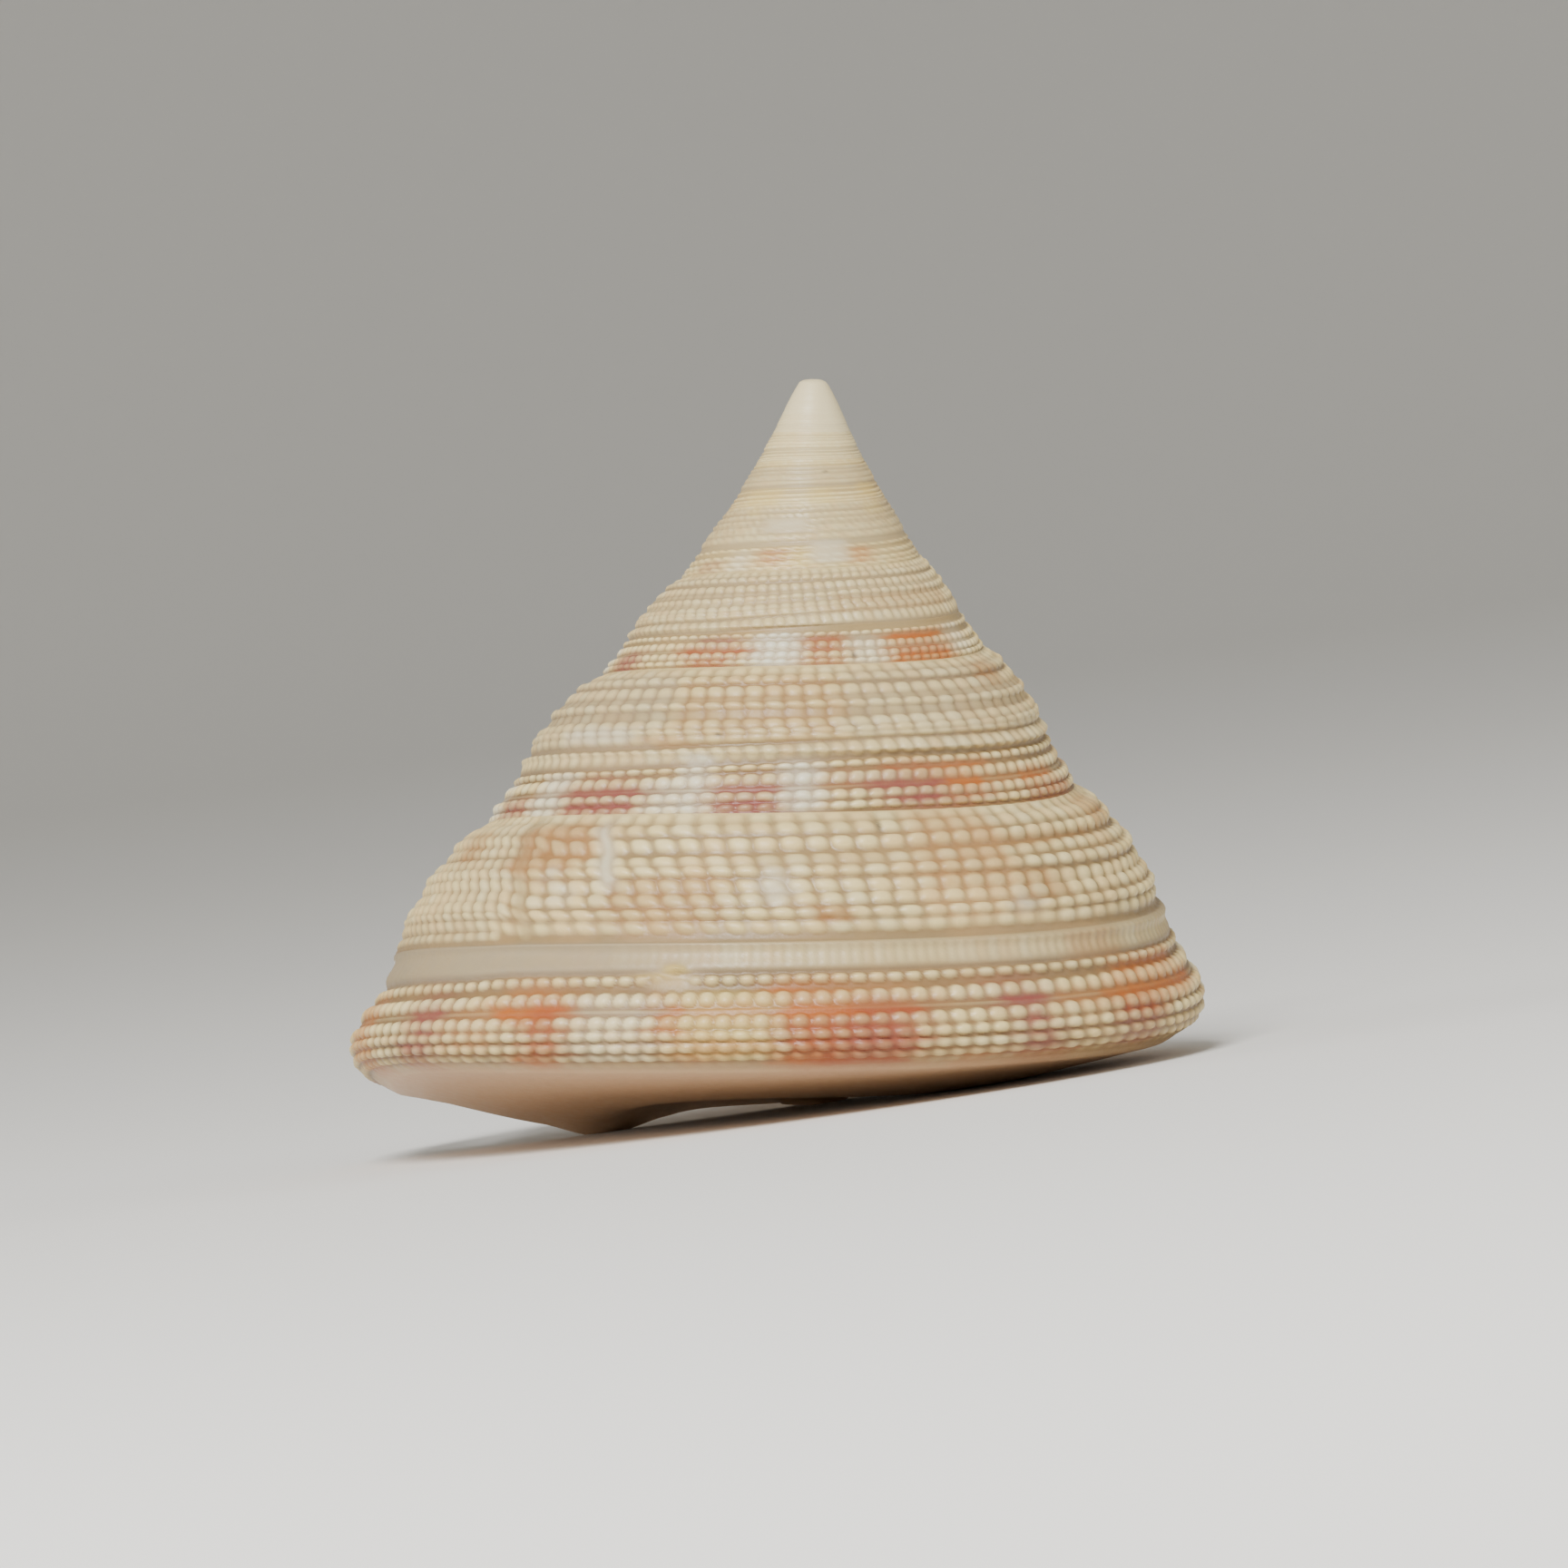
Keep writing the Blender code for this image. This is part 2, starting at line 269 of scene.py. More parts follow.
def settle(points):
    """Drawing in millimetres to the shell at rest, in metres."""
    return (points @ ROLL_MATRIX.T - SHIFT) * MM


def settle_worn(points):
    """The same, with all that would lie under the floor worn flat."""
    placed = settle(points)
    placed[..., 2] = np.maximum(placed[..., 2], 0.0)
    return placed


print("shift in mm", np.round(SHIFT, 2))

# %% [markdown]
# ## Beads
# The beads sit in spiral rows. A row's girth changes slowly along the coil, because the snail crowds
# or spreads its rows as it grows, and so does the number of beads a turn. Above the slit band the
# beads are wide and stand on slanting growth lines. Below it they are round and closer together. The
# slit band between them is the healed trace of the slit, low, with fine cross threads. The first row
# clings to the suture.
#
# A real bead is a knob of extra shell. A bump in the material would vanish at the outline, and
# separate balls wouldn't melt into each other. So one formula gives the height of all beads at a
# turn and a girth, and the surface is pushed out by it.

# %% Rows of beads
# The rows' places are known at these turns. The first two lie before the break, where the animal took
# up growing again with more and finer rows. Girths are in thousandths.
KNOWN_TURNS = (0.00, 0.10, 0.12, 0.40, 1.12, 1.30, 2.15, 2.30)
BREAK_TURN = 0.108
BREAK_WIDTH = 0.004
ROWS = [
    # girths at the known turns, half width, height in mm, group, height of the cord between beads
    ((10, 10, 18, 8, 26, 20, 28, 22), 0.024, 0.22, "upper", 0.40),
    ((45, 50, 68, 45, 80, 70, 80, 70), 0.032, 0.22, "upper", 0.35),
    ((100, 105, 142, 108, 160, 155, 175, 160), 0.036, 0.26, "upper", 0.20),
    ((150, 155, 175, 150, 190, 190, 190, 190), 0.026, 0.22, "fresh", 0.25),
    ((200, 205, 210, 178, 218, 204, 235, 205), 0.028, 0.22, "minor", 0.25),
    ((250, 255, 254, 240, 262, 252, 300, 250), 0.034, 0.25, "upper", 0.20),
    ((300, 305, 318, 315, 328, 306, 340, 300), 0.034, 0.25, "minor", 0.20),
    ((350, 355, 381, 366, 384, 370, 392, 345), 0.034, 0.25, "upper", 0.20),
    ((395, 400, 447, 432, 440, 428, 440, 385), 0.034, 0.25, "upper", 0.25),
    ((437, 440, 450, 435, 440, 430, 440, 385), 0.026, 0.22, "fresh", 0.30),
    ((482, 485, 506, 490, 492, 470, 475, 418), 0.030, 0.21, "upper", 0.50),
    ((528, 530, 535, 520, 520, 500, 500, 420), 0.024, 0.18, "fresh", 0.50),
    ((660, 655, 640, 614, 605, 555, 565, 495), 0.052, 0.13, "slit", 0.45),
    ((770, 757, 746, 712, 716, 652, 672, 668), 0.026, 0.22, "lower", 0.10),
    ((845, 835, 827, 791, 786, 749, 762, 785), 0.038, 0.28, "lower", 0.25),
    ((895, 885, 880, 844, 842, 806, 815, 832), 0.013, 0.06, "lower", 1.00),
    ((945, 935, 932, 896, 900, 862, 868, 880), 0.038, 0.28, "lower", 0.25),
    ((1008, 998, 998, 962, 985, 940, 945, 955), 0.034, 0.26, "lower", 0.30),
    ((1072, 1064, 1066, 1032, 1060, 1030, 1030, 1030), 0.034, 0.24, "lower", 0.35),
    ((1138, 1134, 1136, 1096, 1120, 1100, 1100, 1100), 0.036, 0.17, "lower", 0.45),
    ((1205, 1200, 1200, 1160, 1180, 1160, 1160, 1160), 0.036, 0.07, "lower", 0.60),
]
# The grooves on both sides of the slit band
UPPER_GROOVE = (580, 572, 562, 537, 545, 492, 505, 428)
LOWER_GROOVE = (742, 732, 717, 685, 690, 616, 630, 574)

UPPER_COUNTS = ((-0.16, 0.10, 0.12, 0.40, 1.10, 1.35, 2.20, 8.0), (125, 124, 88, 83, 76, 69, 76, 84))
LOWER_TURNS = (-0.16, 0.14, 0.28, 0.45, 1.10, 1.35, 2.20, 8.0)
GROUPS = {
    # turns and the beads a turn there, reach of a bead along its row, and share of the row's width
    "upper": (UPPER_COUNTS, 0.51, 0.96),
    "fresh": (UPPER_COUNTS, 0.51, 0.92),
    "minor": (UPPER_COUNTS, 0.51, 0.98),
    "lower": ((LOWER_TURNS, (140, 134, 114, 108, 98, 93, 88, 88)), 0.47, 0.92),
    "slit": ((LOWER_TURNS, (220, 215, 195, 180, 98, 88, 88, 88)), 0.48, 1.0),
}
# Over these turns the last whorl's looks give way to those of the older whorls
OLDER_TURNS = (0.5, 1.0)
OLD_FULLNESS = 1.15
GROOVE_HALF = 0.009
GROOVE_DEPTH = 0.08
CREST = 0.05
VALLEY = -0.26
BAND_LINE_GIRTH = 0.024
BAND_LINE_DEPTH = 0.010
SLANT = 0.065
SLANT_TURNS = (0.32, 0.17)
OLD_SLANT = 0.03
OLD_SLANT_TURNS = (0.9, 1.1)
SLANT_CENTRE = 0.3
SLANT_END = 0.6
SMOOTH_GIRTHS = (1.17, 1.27)
THREAD_TURNS = (3.1, 4.8)
SMOOTH_APEX_TURNS = (5.2, 7.6)


def wander(turn, girth, seed):
    """Slow irregular waves between -1 and 1: three sines whose lengths don't match."""
    waves = ((41.0, 9.0, 1.7), (97.0, -15.0, 2.9), (23.0, 31.0, 0.6))
    return sum(np.sin(a * turn + b * girth + c * seed) for a, b, c in waves) / 3.0


def luck(number, row):
    """A fixed random share from 0 to 1 for each bead of a row: the last digits of a large sine."""
    value = np.sin(12.9898 * number + 78.233 * row) * 43758.5453
    return value - np.floor(value)


def at_turn(places, turn):
    """A row's girth at a turn, moving evenly between the known turns."""
    return np.interp(turn, KNOWN_TURNS, np.divide(places, 1000.0))


def beads_before(turn, group):
    """Beads of a row between the first counted turn, beyond the lip, and this one: the sum of the
    beads a turn up to it."""
    turns, counts = GROUPS[group][0]
    steps = np.linspace(turns[0], turns[-1], 8001)
    sums = np.cumsum(np.interp(steps, turns, counts)) * (steps[1] - steps[0])
    return np.interp(turn, steps, sums)


def slanted(turn, girth):
    """The turn that counts a bead: growth lines of the newest shell lean back towards the edge."""
    slant = SLANT * ramp(turn, *SLANT_TURNS) + OLD_SLANT * ramp(turn, *OLD_SLANT_TURNS)
    return turn - slant * (np.minimum(girth, SLANT_END) - SLANT_CENTRE)


MINOR_STRENGTH = 0.45
OLD_SLIT_STRENGTH = 2.0
SLIT_BEAD_TURNS = (0.15, 0.22)


def group_strength(group, turn):
    """How strong a group's rows are: fresh ones start at the break, minor ones are weak on older
    whorls, and the slit band's are plain only there."""
    if group == "fresh":
        return ramp(turn, BREAK_TURN + BREAK_WIDTH, BREAK_TURN - BREAK_WIDTH)
    if group == "minor":
        return blend(1.0, MINOR_STRENGTH, ramp(turn, *OLDER_TURNS))
    if group == "slit":
        return blend(ramp(turn, *SLIT_BEAD_TURNS), OLD_SLIT_STRENGTH, ramp(turn, *OLDER_TURNS))
    return 1.0


# %% Height of the beads
ROW_WAVE = 0.0025
ROW_OFFSET = 0.22
BEAD_DRIFT = 0.10
LEAST_SIZE = 0.84
SIZE_RANGE = 0.26
ALONG_POWER = 2.6
ASIDE_POWER = 2.4
FULL_HEIGHT = 0.26
THREAD_LINK = 0.9
THREAD_BEADS = 0.6
LEAST_FILL = 0.9
FILL_BY_SIZE = 0.15


def bead_height(turn, girth, calm):
    """Height of the beads from 0 in the grooves to 1 on the crest. A bead is a rounded cap: 1 less a
    power of the distance from its middle, counted in its half widths. A cord links the beads of a
    row, and calm places have low ones. Each bead also has a tone of its own, from 0 to 1."""
    height = np.zeros(np.broadcast(turn, girth).shape)
    tone = np.full(height.shape, 0.5)
    counted = slanted(turn, girth)
    threads = ramp(turn, *THREAD_TURNS)
    fuller = blend(1.0, OLD_FULLNESS, ramp(turn, *OLDER_TURNS))
    for number, (places, half, tall, group, cord) in enumerate(ROWS):
        _, reach, width = GROUPS[group]
        middle = at_turn(places, turn) + ROW_WAVE * wander(turn, 0.0, number)
        aside = np.abs(girth - middle) / (half * width * fuller)
        nudge = ROW_OFFSET * luck(number, 5.0) + BEAD_DRIFT * wander(turn, girth, number + 3.0)
        along = beads_before(counted, group) + nudge
        bead = np.floor(along)
        size = LEAST_SIZE + SIZE_RANGE * luck(bead, number)
        off = np.abs(along - bead - 0.5) / reach / blend(1.0, fuller, 0.4)
        cap = 1.0 - (off ** ALONG_POWER + aside ** ASIDE_POWER) / (LEAST_FILL + FILL_BY_SIZE * size)
        link = blend(cord, THREAD_LINK, threads) * (1.0 - aside ** 2)
        shape = np.maximum(cap * size * blend(1.0, THREAD_BEADS, threads), link)
        share = tall / FULL_HEIGHT * group_strength(group, turn) * (1.0 - calm)
        tone = np.where(shape * share > height, luck(bead, number + 0.5), tone)
        height = np.maximum(height, shape * share)
    return height, tone


# %% [markdown]
# ## Relief
# Between the rows the surface sinks into grooves. The slit band is a low step between two deeper
# ones, and a small crust has grown on it. Beads shrink with the whorl, and the tip is worn smooth.

# %% Height of the surface
# Turn, girth, half length in turns, half width in girth and height of the crust and its smear
LUMP = ((0.195, 0.690, 0.0040, 0.018, 1.0), (0.188, 0.716, 0.0090, 0.014, 0.35))
LUMP_HEIGHT = 0.30
LUMP_GRAIN = 0.3
BAND_EASE = (0.015, -0.035)
BAND_CREST = 0.35
OLD_BAND_CREST = 0.15
BAND_BEADS = 0.6
BAND_LINE_TURNS = (0.24, 0.16)
CALM_CREST = 0.45
SUTURE_CREST = 0.5
SUTURE_GIRTH = 0.04
BASE_LEVEL = -0.06
BASE_CREST = 0.5
GROOVE_SHADE = 0.7
WORN_CREST = 0.65
SHRINKING = 0.8
SHRINK_TURN = 0.6


def lump_at(turn, girth):
    """A small crust that grew on the slit band, and its smear: two bells, from 0 to 1, roughened by
    fine waves."""
    crust = 0.0
    for lump_turn, lump_girth, long, wide, tall in LUMP:
        crust = np.maximum(crust, tall * bump(turn, lump_turn, long) * bump(girth, lump_girth, wide))
    return crust * (1.0 + LUMP_GRAIN * np.sin(900.0 * turn) * np.sin(170.0 * girth + 500.0 * turn))


def relief(turn, girth, calm):
    """Height of the surface in millimetres above the smooth outside, the crest share and the tones.
    The crest share is the highest of the beads, the slit band's step, the calm places and the suture,
    and the height goes by it from the valley to the crest."""
    crest, tone = bead_height(turn, girth, calm)
    crest = np.clip(crest, 0.0, 1.15)
    upper, lower = at_turn(UPPER_GROOVE, turn), at_turn(LOWER_GROOVE, turn)
    band = ramp(girth, upper, upper + BAND_EASE[0]) * ramp(girth, lower, lower + BAND_EASE[1])
    step = blend(BAND_CREST, OLD_BAND_CREST, ramp(turn, *OLDER_TURNS))
    crest = np.maximum(crest, band * (step + BAND_BEADS * crest))
    crest = np.maximum(crest, CALM_CREST * calm)
    crest = np.maximum(crest, SUTURE_CREST * ramp(girth, SUTURE_GIRTH, 0.0))
    height = blend(VALLEY, CREST, crest) + LUMP_HEIGHT * lump_at(turn, girth)
    flat = ramp(girth, *SMOOTH_GIRTHS)
    height = blend(height, BASE_LEVEL, flat)
    crest = blend(crest, BASE_CREST, flat)
    smooth = band * ramp(turn, *BAND_LINE_TURNS)
    height = height - BAND_LINE_DEPTH * smooth * np.cos(2.0 * math.pi * girth / BAND_LINE_GIRTH)
    for line in (upper, lower):
        cut = bump(girth, line, GROOVE_HALF)
        height = height - GROOVE_DEPTH * cut
        crest = crest * (1.0 - GROOVE_SHADE * cut)
    worn = 1.0 - ramp(turn, *SMOOTH_APEX_TURNS)
    growth = RADIUS_PER_TURN ** (SHRINKING * np.maximum(turn - SHRINK_TURN, 0.0))
    return height * growth * worn, blend(WORN_CREST, crest, worn), tone


print(len(ROWS), "rows;", round(float(beads_before(1.0, "lower"))), "beads a row on the last whorl")

# %% [markdown]
# ## Marks
# The colours are patches that the snail laid down as it grew, so each one is a stretch of turns and
# a stretch of girth with soft, wavy edges. Orange, brick and rose flames lie on the lower half of
# each whorl, with chalky gaps between them. Slate is the grey of the slit band, peach, straw and tan
# are broad warm tints, and specks are dark grains that stick in the grooves.
#
# A painted image would have to be stored and unwrapped. Noise alone would put no patch in its place.
# So every patch is one line of numbers, and the mesh keeps the strength of each kind at each point.

# %% Patches of colour
# First and last turn, first and last girth, and strength, all in thousandths
PATCHES = {
    "rose": [
        (71, 94, 855, 930, 950), (80, 94, 940, 1000, 900), (68, 88, 1010, 1100, 800), (70, 94, 770, 820, 350),
        (262, 288, 930, 1080, 550), (304, 318, 790, 830, 300), (316, 345, 755, 788, 600),
        (324, 346, 815, 885, 1000), (333, 346, 890, 985, 950), (333, 350, 985, 1110, 750),
        (384, 415, 970, 1150, 550), (1032, 1067, 875, 1010, 800), (1096, 1152, 810, 885, 950),
        (1104, 1142, 740, 770, 600), (1098, 1150, 900, 1010, 950), (1195, 1231, 790, 870, 900),
        (1193, 1231, 890, 1010, 1000), (1198, 1226, 735, 765, 400), (1278, 1330, 775, 845, 950),
        (1292, 1330, 880, 960, 1000), (2040, 2080, 810, 1010, 850), (2140, 2180, 695, 740, 700),
        (3064, 3112, 800, 1000, 400),
    ],
    "brick": [
        (60, 84, 1110, 1260, 550), (137, 155, 850, 1110, 750), (262, 293, 845, 915, 950),
        (238, 290, 920, 1090, 900), (250, 288, 1080, 1220, 900), (240, 285, 1220, 1420, 450),
        (330, 362, 1110, 1300, 500), (384, 418, 905, 960, 850), (1253, 1282, 720, 830, 300),
        (1290, 1330, 690, 730, 750), (1326, 1366, 895, 950, 700), (1396, 1462, 905, 975, 800),
        (2124, 2195, 800, 860, 950), (2136, 2180, 895, 1010, 750), (2240, 2278, 690, 870, 750),
        (2240, 2278, 900, 1010, 600), (2320, 2396, 830, 870, 850),
    ],
    "orange": [
        (126, 152, 775, 808, 750), (121, 155, 838, 912, 1000), (131, 149, 1100, 1240, 800),
        (97, 124, 850, 1080, 280), (192.5, 201, 835, 1000, 1000), (198, 211, 1080, 1170, 500),
        (200, 238, 855, 900, 550), (200, 240, 1030, 1065, 600), (231, 262, 765, 800, 900),
        (258, 285, 770, 800, 450), (234, 270, 835, 915, 1000), (235, 262, 1090, 1210, 950),
        (304, 324, 1120, 1300, 400), (350, 384, 830, 880, 420), (392, 456, 735, 770, 1000),
        (380, 468, 818, 878, 950), (1325, 1366, 780, 845, 1000), (1326, 1368, 690, 730, 950),
        (1368, 1394, 785, 840, 450), (1392, 1438, 790, 850, 900), (2318, 2396, 700, 770, 1000),
        (2320, 2396, 880, 1010, 950), (3166, 3212, 680, 900, 500), (3303, 3342, 700, 930, 500),
    ],
    "chalk": [
        (157, 190, 800, 1150, 300), (1068, 1096, 700, 1010, 700), (1155, 1194, 760, 1010, 600),
        (1172, 1188, 600, 1010, 900), (1231, 1253, 640, 1000, 950), (2196, 2238, 640, 1010, 1000),
        (2280, 2317, 680, 1010, 550), (2398, 2436, 640, 940, 450), (3124, 3158, 680, 1000, 500),
        (3246, 3304, 560, 900, 700), (3164, 3238, 200, 400, 300), (228, 238, 240, 390, 750),
        (122, 130, 230, 300, 500), (131, 139, 310, 400, 500), (343, 356, 400, 460, 800),
        (1070, 1130, 400, 500, 500),
    ],
    "straw": [
        (200, 236, 780, 1150, 600), (3212, 3246, 640, 960, 550), (3116, 3140, 20, 160, 500),
        (4090, 4176, 640, 1000, 550), (4240, 4290, 640, 1000, 500), (4364, 4430, 560, 900, 600),
        (3360, 3420, 20, 200, 400),
    ],
    "tan": [
        (368, 404, 570, 690, 500), (36, 62, 60, 200, 700), (90, 140, 40, 260, 700), (112, 140, 200, 320, 400),
        (156, 214, 280, 520, 550), (250, 264, 410, 490, 1000), (300, 352, 10, 350, 420),
        (348, 376, 270, 410, 600), (330, 430, 125, 160, 650), (440, 480, 10, 140, 700),
        (1155, 1270, 60, 500, 380), (1400, 1440, 40, 180, 750), (1130, 1180, 470, 520, 600),
        (2270, 2440, 280, 460, 400),
    ],
    "slate": [
        (4000, 4460, 140, 600, 550), (3000, 3500, 20, 640, 450), (2000, 2460, 20, 560, 380),
        (-60, 104, 20, 580, 220), (1000, 1150, 30, 560, 450), (1270, 1460, 20, 500, 350),
    ],
    "peach": [
        (300, 350, 20, 480, 350), (96, 140, 50, 260, 350),
    ],
}
# Turn, girth, half length in turns and half width in girth
SPECKS = [
    (0.402, 0.365, 0.0016, 0.014), (0.283, 0.055, 0.0012, 0.026), (0.3995, 0.350, 0.0008, 0.006),
    (1.190, 0.460, 0.0022, 0.014), (2.285, 0.900, 0.0020, 0.030), (4.280, 0.270, 0.0050, 0.030),
]
FLAMES = ("orange", "brick", "rose")
KINDS = FLAMES + ("chalk", "slate", "peach", "straw", "tan", "speck")

# %% Patches of the back
HIDDEN_SEED = 7
HIDDEN_KINDS = FLAMES + ("chalk", "straw")
HIDDEN_GIRTHS = ((0.74, 0.79), (0.82, 0.88), (0.90, 0.98), (0.98, 1.24))
HIDDEN_STRENGTHS = (1.0, 0.95, 0.85, 0.45)
HIDDEN_TURNS = (0.49, 1.02)
LIP_PATCHES = [
    ("rose", -0.060, -0.030, 0.80, 1.28, 0.7),
    ("orange", 0.010, 0.040, 0.80, 1.25, 0.6),
]


def hidden_patches():
    """Patches for the back, which carry on the front's pattern: flames and gaps in turn, about
    twenty to a whorl, with seeded lengths."""
    random = np.random.default_rng(HIDDEN_SEED)
    made = []
    for whorl, strength in enumerate(HIDDEN_STRENGTHS):
        turn = whorl + HIDDEN_TURNS[0]
        while turn < whorl + HIDDEN_TURNS[1]:
            length = random.uniform(0.016, 0.060)
            kind = HIDDEN_KINDS[random.integers(5)]
            shift = random.uniform(-0.008, 0.008)
            for top, bottom in HIDDEN_GIRTHS:
                share = strength * random.uniform(0.45, 1.0)
                made.append((kind, turn + shift, turn + shift + length, top, bottom, share))
            turn = turn + length + random.uniform(0.0, 0.03)
    return made + LIP_PATCHES


seen = [(kind, *np.divide(row, 1000.0)) for kind, rows in PATCHES.items() for row in rows]
ALL_PATCHES = seen + hidden_patches()
print(len(ALL_PATCHES), "patches of", len(KINDS) - 1, "kinds")

# %% Masks of the marks
SOFT_TURNS = 0.006
SOFT_GIRTH = 0.022
SOFTER_ABOVE = 0.3
TURN_WAVE = 0.0045
GIRTH_WAVE = 0.014
HALO_GIRTH = 0.035
HALO_STRENGTH = 0.62
STREAK = ((0.05, 0.1405), (0.16, 0.1500), (0.28, 0.1555), (0.36, 0.1600))
STREAK_HALF = 0.0042
STREAK_CHALK = 0.8
SLIT_SLATE = (0.90, 0.35)
SLIT_SLATE_TURNS = (0.16, 0.24)
SLATE_END_TURNS = (3.4, 2.6)
SLATE_SOFT = 0.010
# Strength of the grooves' brown wash, which is partly stain and partly painted shade: a little weaker high on
# the band, and weaker on older whorls
UPPER_STAIN_AND_SHADE = 0.90
OLD_STAIN_AND_SHADE = 0.6
STAIN_AND_SHADE_GIRTHS = (0.55, 0.75)
STAIN_AND_SHADE_TURNS = (1.6, 3.2)
# Girths where the underside is washed a darker buff, partly its own colour and partly painted shade where it
# faces down
UNDER_GIRTHS = (1.16, 1.30)
WORN_TURNS = (4.6, 6.4)


def soft_box(value, first, last, soft):
    """1 inside the stretch from first to last, and fading to 0 over a soft width outside it."""
    return ramp(value, first - soft, first + soft) * ramp(value, last + soft, last - soft)


def streak_at(turn, girth):
    """The healed streak: a pale, beadless line that runs down from the suture, leaning back."""
    girths, turns = zip(*STREAK)
    line = np.interp(girth, girths, turns)
    along = soft_box(girth, 0.03, 0.32, 0.03)
    return bump(turn, line, STREAK_HALF) * along


def masks_at(turn, girth, crest):
    """How strongly each kind of mark colours each point, from 0 to 1, as a dictionary of arrays. A
    patch's edges wander, and a flame has a weaker halo."""
    shape = np.broadcast(turn, girth).shape
    masks = {kind: np.zeros(shape) for kind in KINDS}

    def raise_to(kind, strength):
        masks[kind] = np.maximum(masks[kind], strength)

    turned = turn + TURN_WAVE * wander(turn * 3.0, girth * 4.0, 4.0)
    lowered = girth + GIRTH_WAVE * wander(turn * 2.5, girth * 2.0, 8.0)
    for kind, first, last, top, bottom, strength in ALL_PATCHES:
        soft = SOFT_TURNS * (0.9 + SOFTER_ABOVE * max(first, 0.0))
        inside = soft_box(turned, first, last, soft) * soft_box(lowered, top, bottom, SOFT_GIRTH)
        raise_to(kind, strength * inside)
        if kind in FLAMES:
            halo = soft_box(turned, first, last, 2.0 * soft)
            halo = halo * soft_box(lowered, top - HALO_GIRTH, bottom + HALO_GIRTH, SOFT_GIRTH)
            raise_to(kind, HALO_STRENGTH * strength * halo)
    upper, lower = at_turn(UPPER_GROOVE, turn), at_turn(LOWER_GROOVE, turn)
    grey = blend(*SLIT_SLATE, ramp(turn, *SLIT_SLATE_TURNS)) * ramp(turn, *SLATE_END_TURNS)
    raise_to("slate", grey * soft_box(girth, upper, lower, SLATE_SOFT))
    raise_to("chalk", STREAK_CHALK * streak_at(turn, girth))
    raise_to("straw", np.clip(2.0 * lump_at(turn, girth), 0.0, 1.0))
    for speck_turn, speck_girth, long, wide in SPECKS:
        raise_to("speck", bump(turn, speck_turn, long) * bump(girth, speck_girth, wide))
    masks["crest"] = np.clip(crest, 0.0, 1.0)
    # The grooves' brown wash: partly stain, partly painted shade in the recesses
    old_stain_and_shade = blend(1.0, OLD_STAIN_AND_SHADE, ramp(turn, *STAIN_AND_SHADE_TURNS))
    masks["stain_and_shade"] = blend(UPPER_STAIN_AND_SHADE, 1.0, ramp(girth, *STAIN_AND_SHADE_GIRTHS)) * old_stain_and_shade
    # Underside washed a darker buff: partly its own colour, partly painted shade where it faces down
    masks["under"] = ramp(girth, *UNDER_GIRTHS)
    masks["worn"] = ramp(turn, *WORN_TURNS)
    return {kind: np.broadcast_to(mask, shape) for kind, mask in masks.items()}


# %% [markdown]
# ## Scars
# Old breaks show as calm places where the beads are low, with a healed streak and the line of a
# break beside them. They could be sculpted away bead by bead. Lowering the bead formula inside a
# soft patch does the same and needs one line of numbers for each.

# %% Calm places
# First and last turn, first and last girth, and calmness
SCARS = [
    (0.228, 0.240, 0.22, 0.40, 0.50), (0.226, 0.292, 0.17, 0.23, 0.35), (0.343, 0.357, 0.40, 0.46, 0.60),
    (1.155, 1.290, 0.24, 0.46, 0.22), (1.090, 1.130, 0.26, 0.50, 0.18), (0.186, 0.203, 0.67, 0.78, 0.80),
    (3.160, 3.240, 0.18, 0.42, 0.90), (3.246, 3.304, 0.54, 0.94, 0.50),
]
SCAR_WAVE = 0.003
SCAR_SOFT_TURNS = 0.005
SCAR_SOFT_GIRTH = 0.03
BREAK_CALM = 0.55
BREAK_GIRTHS = (0.58, 0.52)
STREAK_CALM = 0.9


def calm_at(turn, girth):
    """How calm the beads are, from 0 to 1: the highest of the scars, the break and the streak."""
    calm = np.zeros(np.broadcast(turn, girth).shape)
    turned = turn + SCAR_WAVE * wander(turn * 3.0, girth * 4.0, 2.0)
    for first, last, top, bottom, strength in SCARS:
        along = soft_box(turned, first, last, SCAR_SOFT_TURNS)
        calm = np.maximum(calm, strength * (along * soft_box(girth, top, bottom, SCAR_SOFT_GIRTH)))
    line = bump(slanted(turn, girth), BREAK_TURN, BREAK_WIDTH) * ramp(girth, *BREAK_GIRTHS)
    return np.maximum(np.maximum(calm, BREAK_CALM * line), STREAK_CALM * streak_at(turn, girth))


# %% [markdown]
# ## Surfaces into meshes
# Each part of the outside is a grid of growth lines and girths. The beads push the points along the
# surface's normals. Blender would work out each mesh's normals by itself, and a seam would show where
# two meet. So each grid is made one step larger on each side and then trimmed, and neighbours get the
# same normals where they meet.

# %% Grid, normals and mesh
FIRST_START = 12.0
UNDER_FADE = 0.025


def unit(vectors):
    """The same directions with length 1."""
    return vectors / np.maximum(np.linalg.norm(vectors, axis=-1, keepdims=True), 1e-12)


def grid_normals(points):
    """Outward normals of a grid: down the outline crossed with back along the coil."""
    return unit(np.cross(np.gradient(points, axis=1), np.gradient(points, axis=0)))


def grow(values):
    """The same values with one more at each end, a step further on."""
    return np.concatenate([[2 * values[0] - values[1]], values, [2 * values[-1] - values[-2]]])


def covered(start, girth):
    """1 where beads may stand and 0 where the next whorl covers the edge, or at the suture."""
    free = ramp(start, BASE_START, BASE_START - UNDER_FADE)[:, None]
    edge = np.maximum(ramp(girth, 1.0, 0.98), free)
    return ramp(girth, 0.0, 0.012) * edge


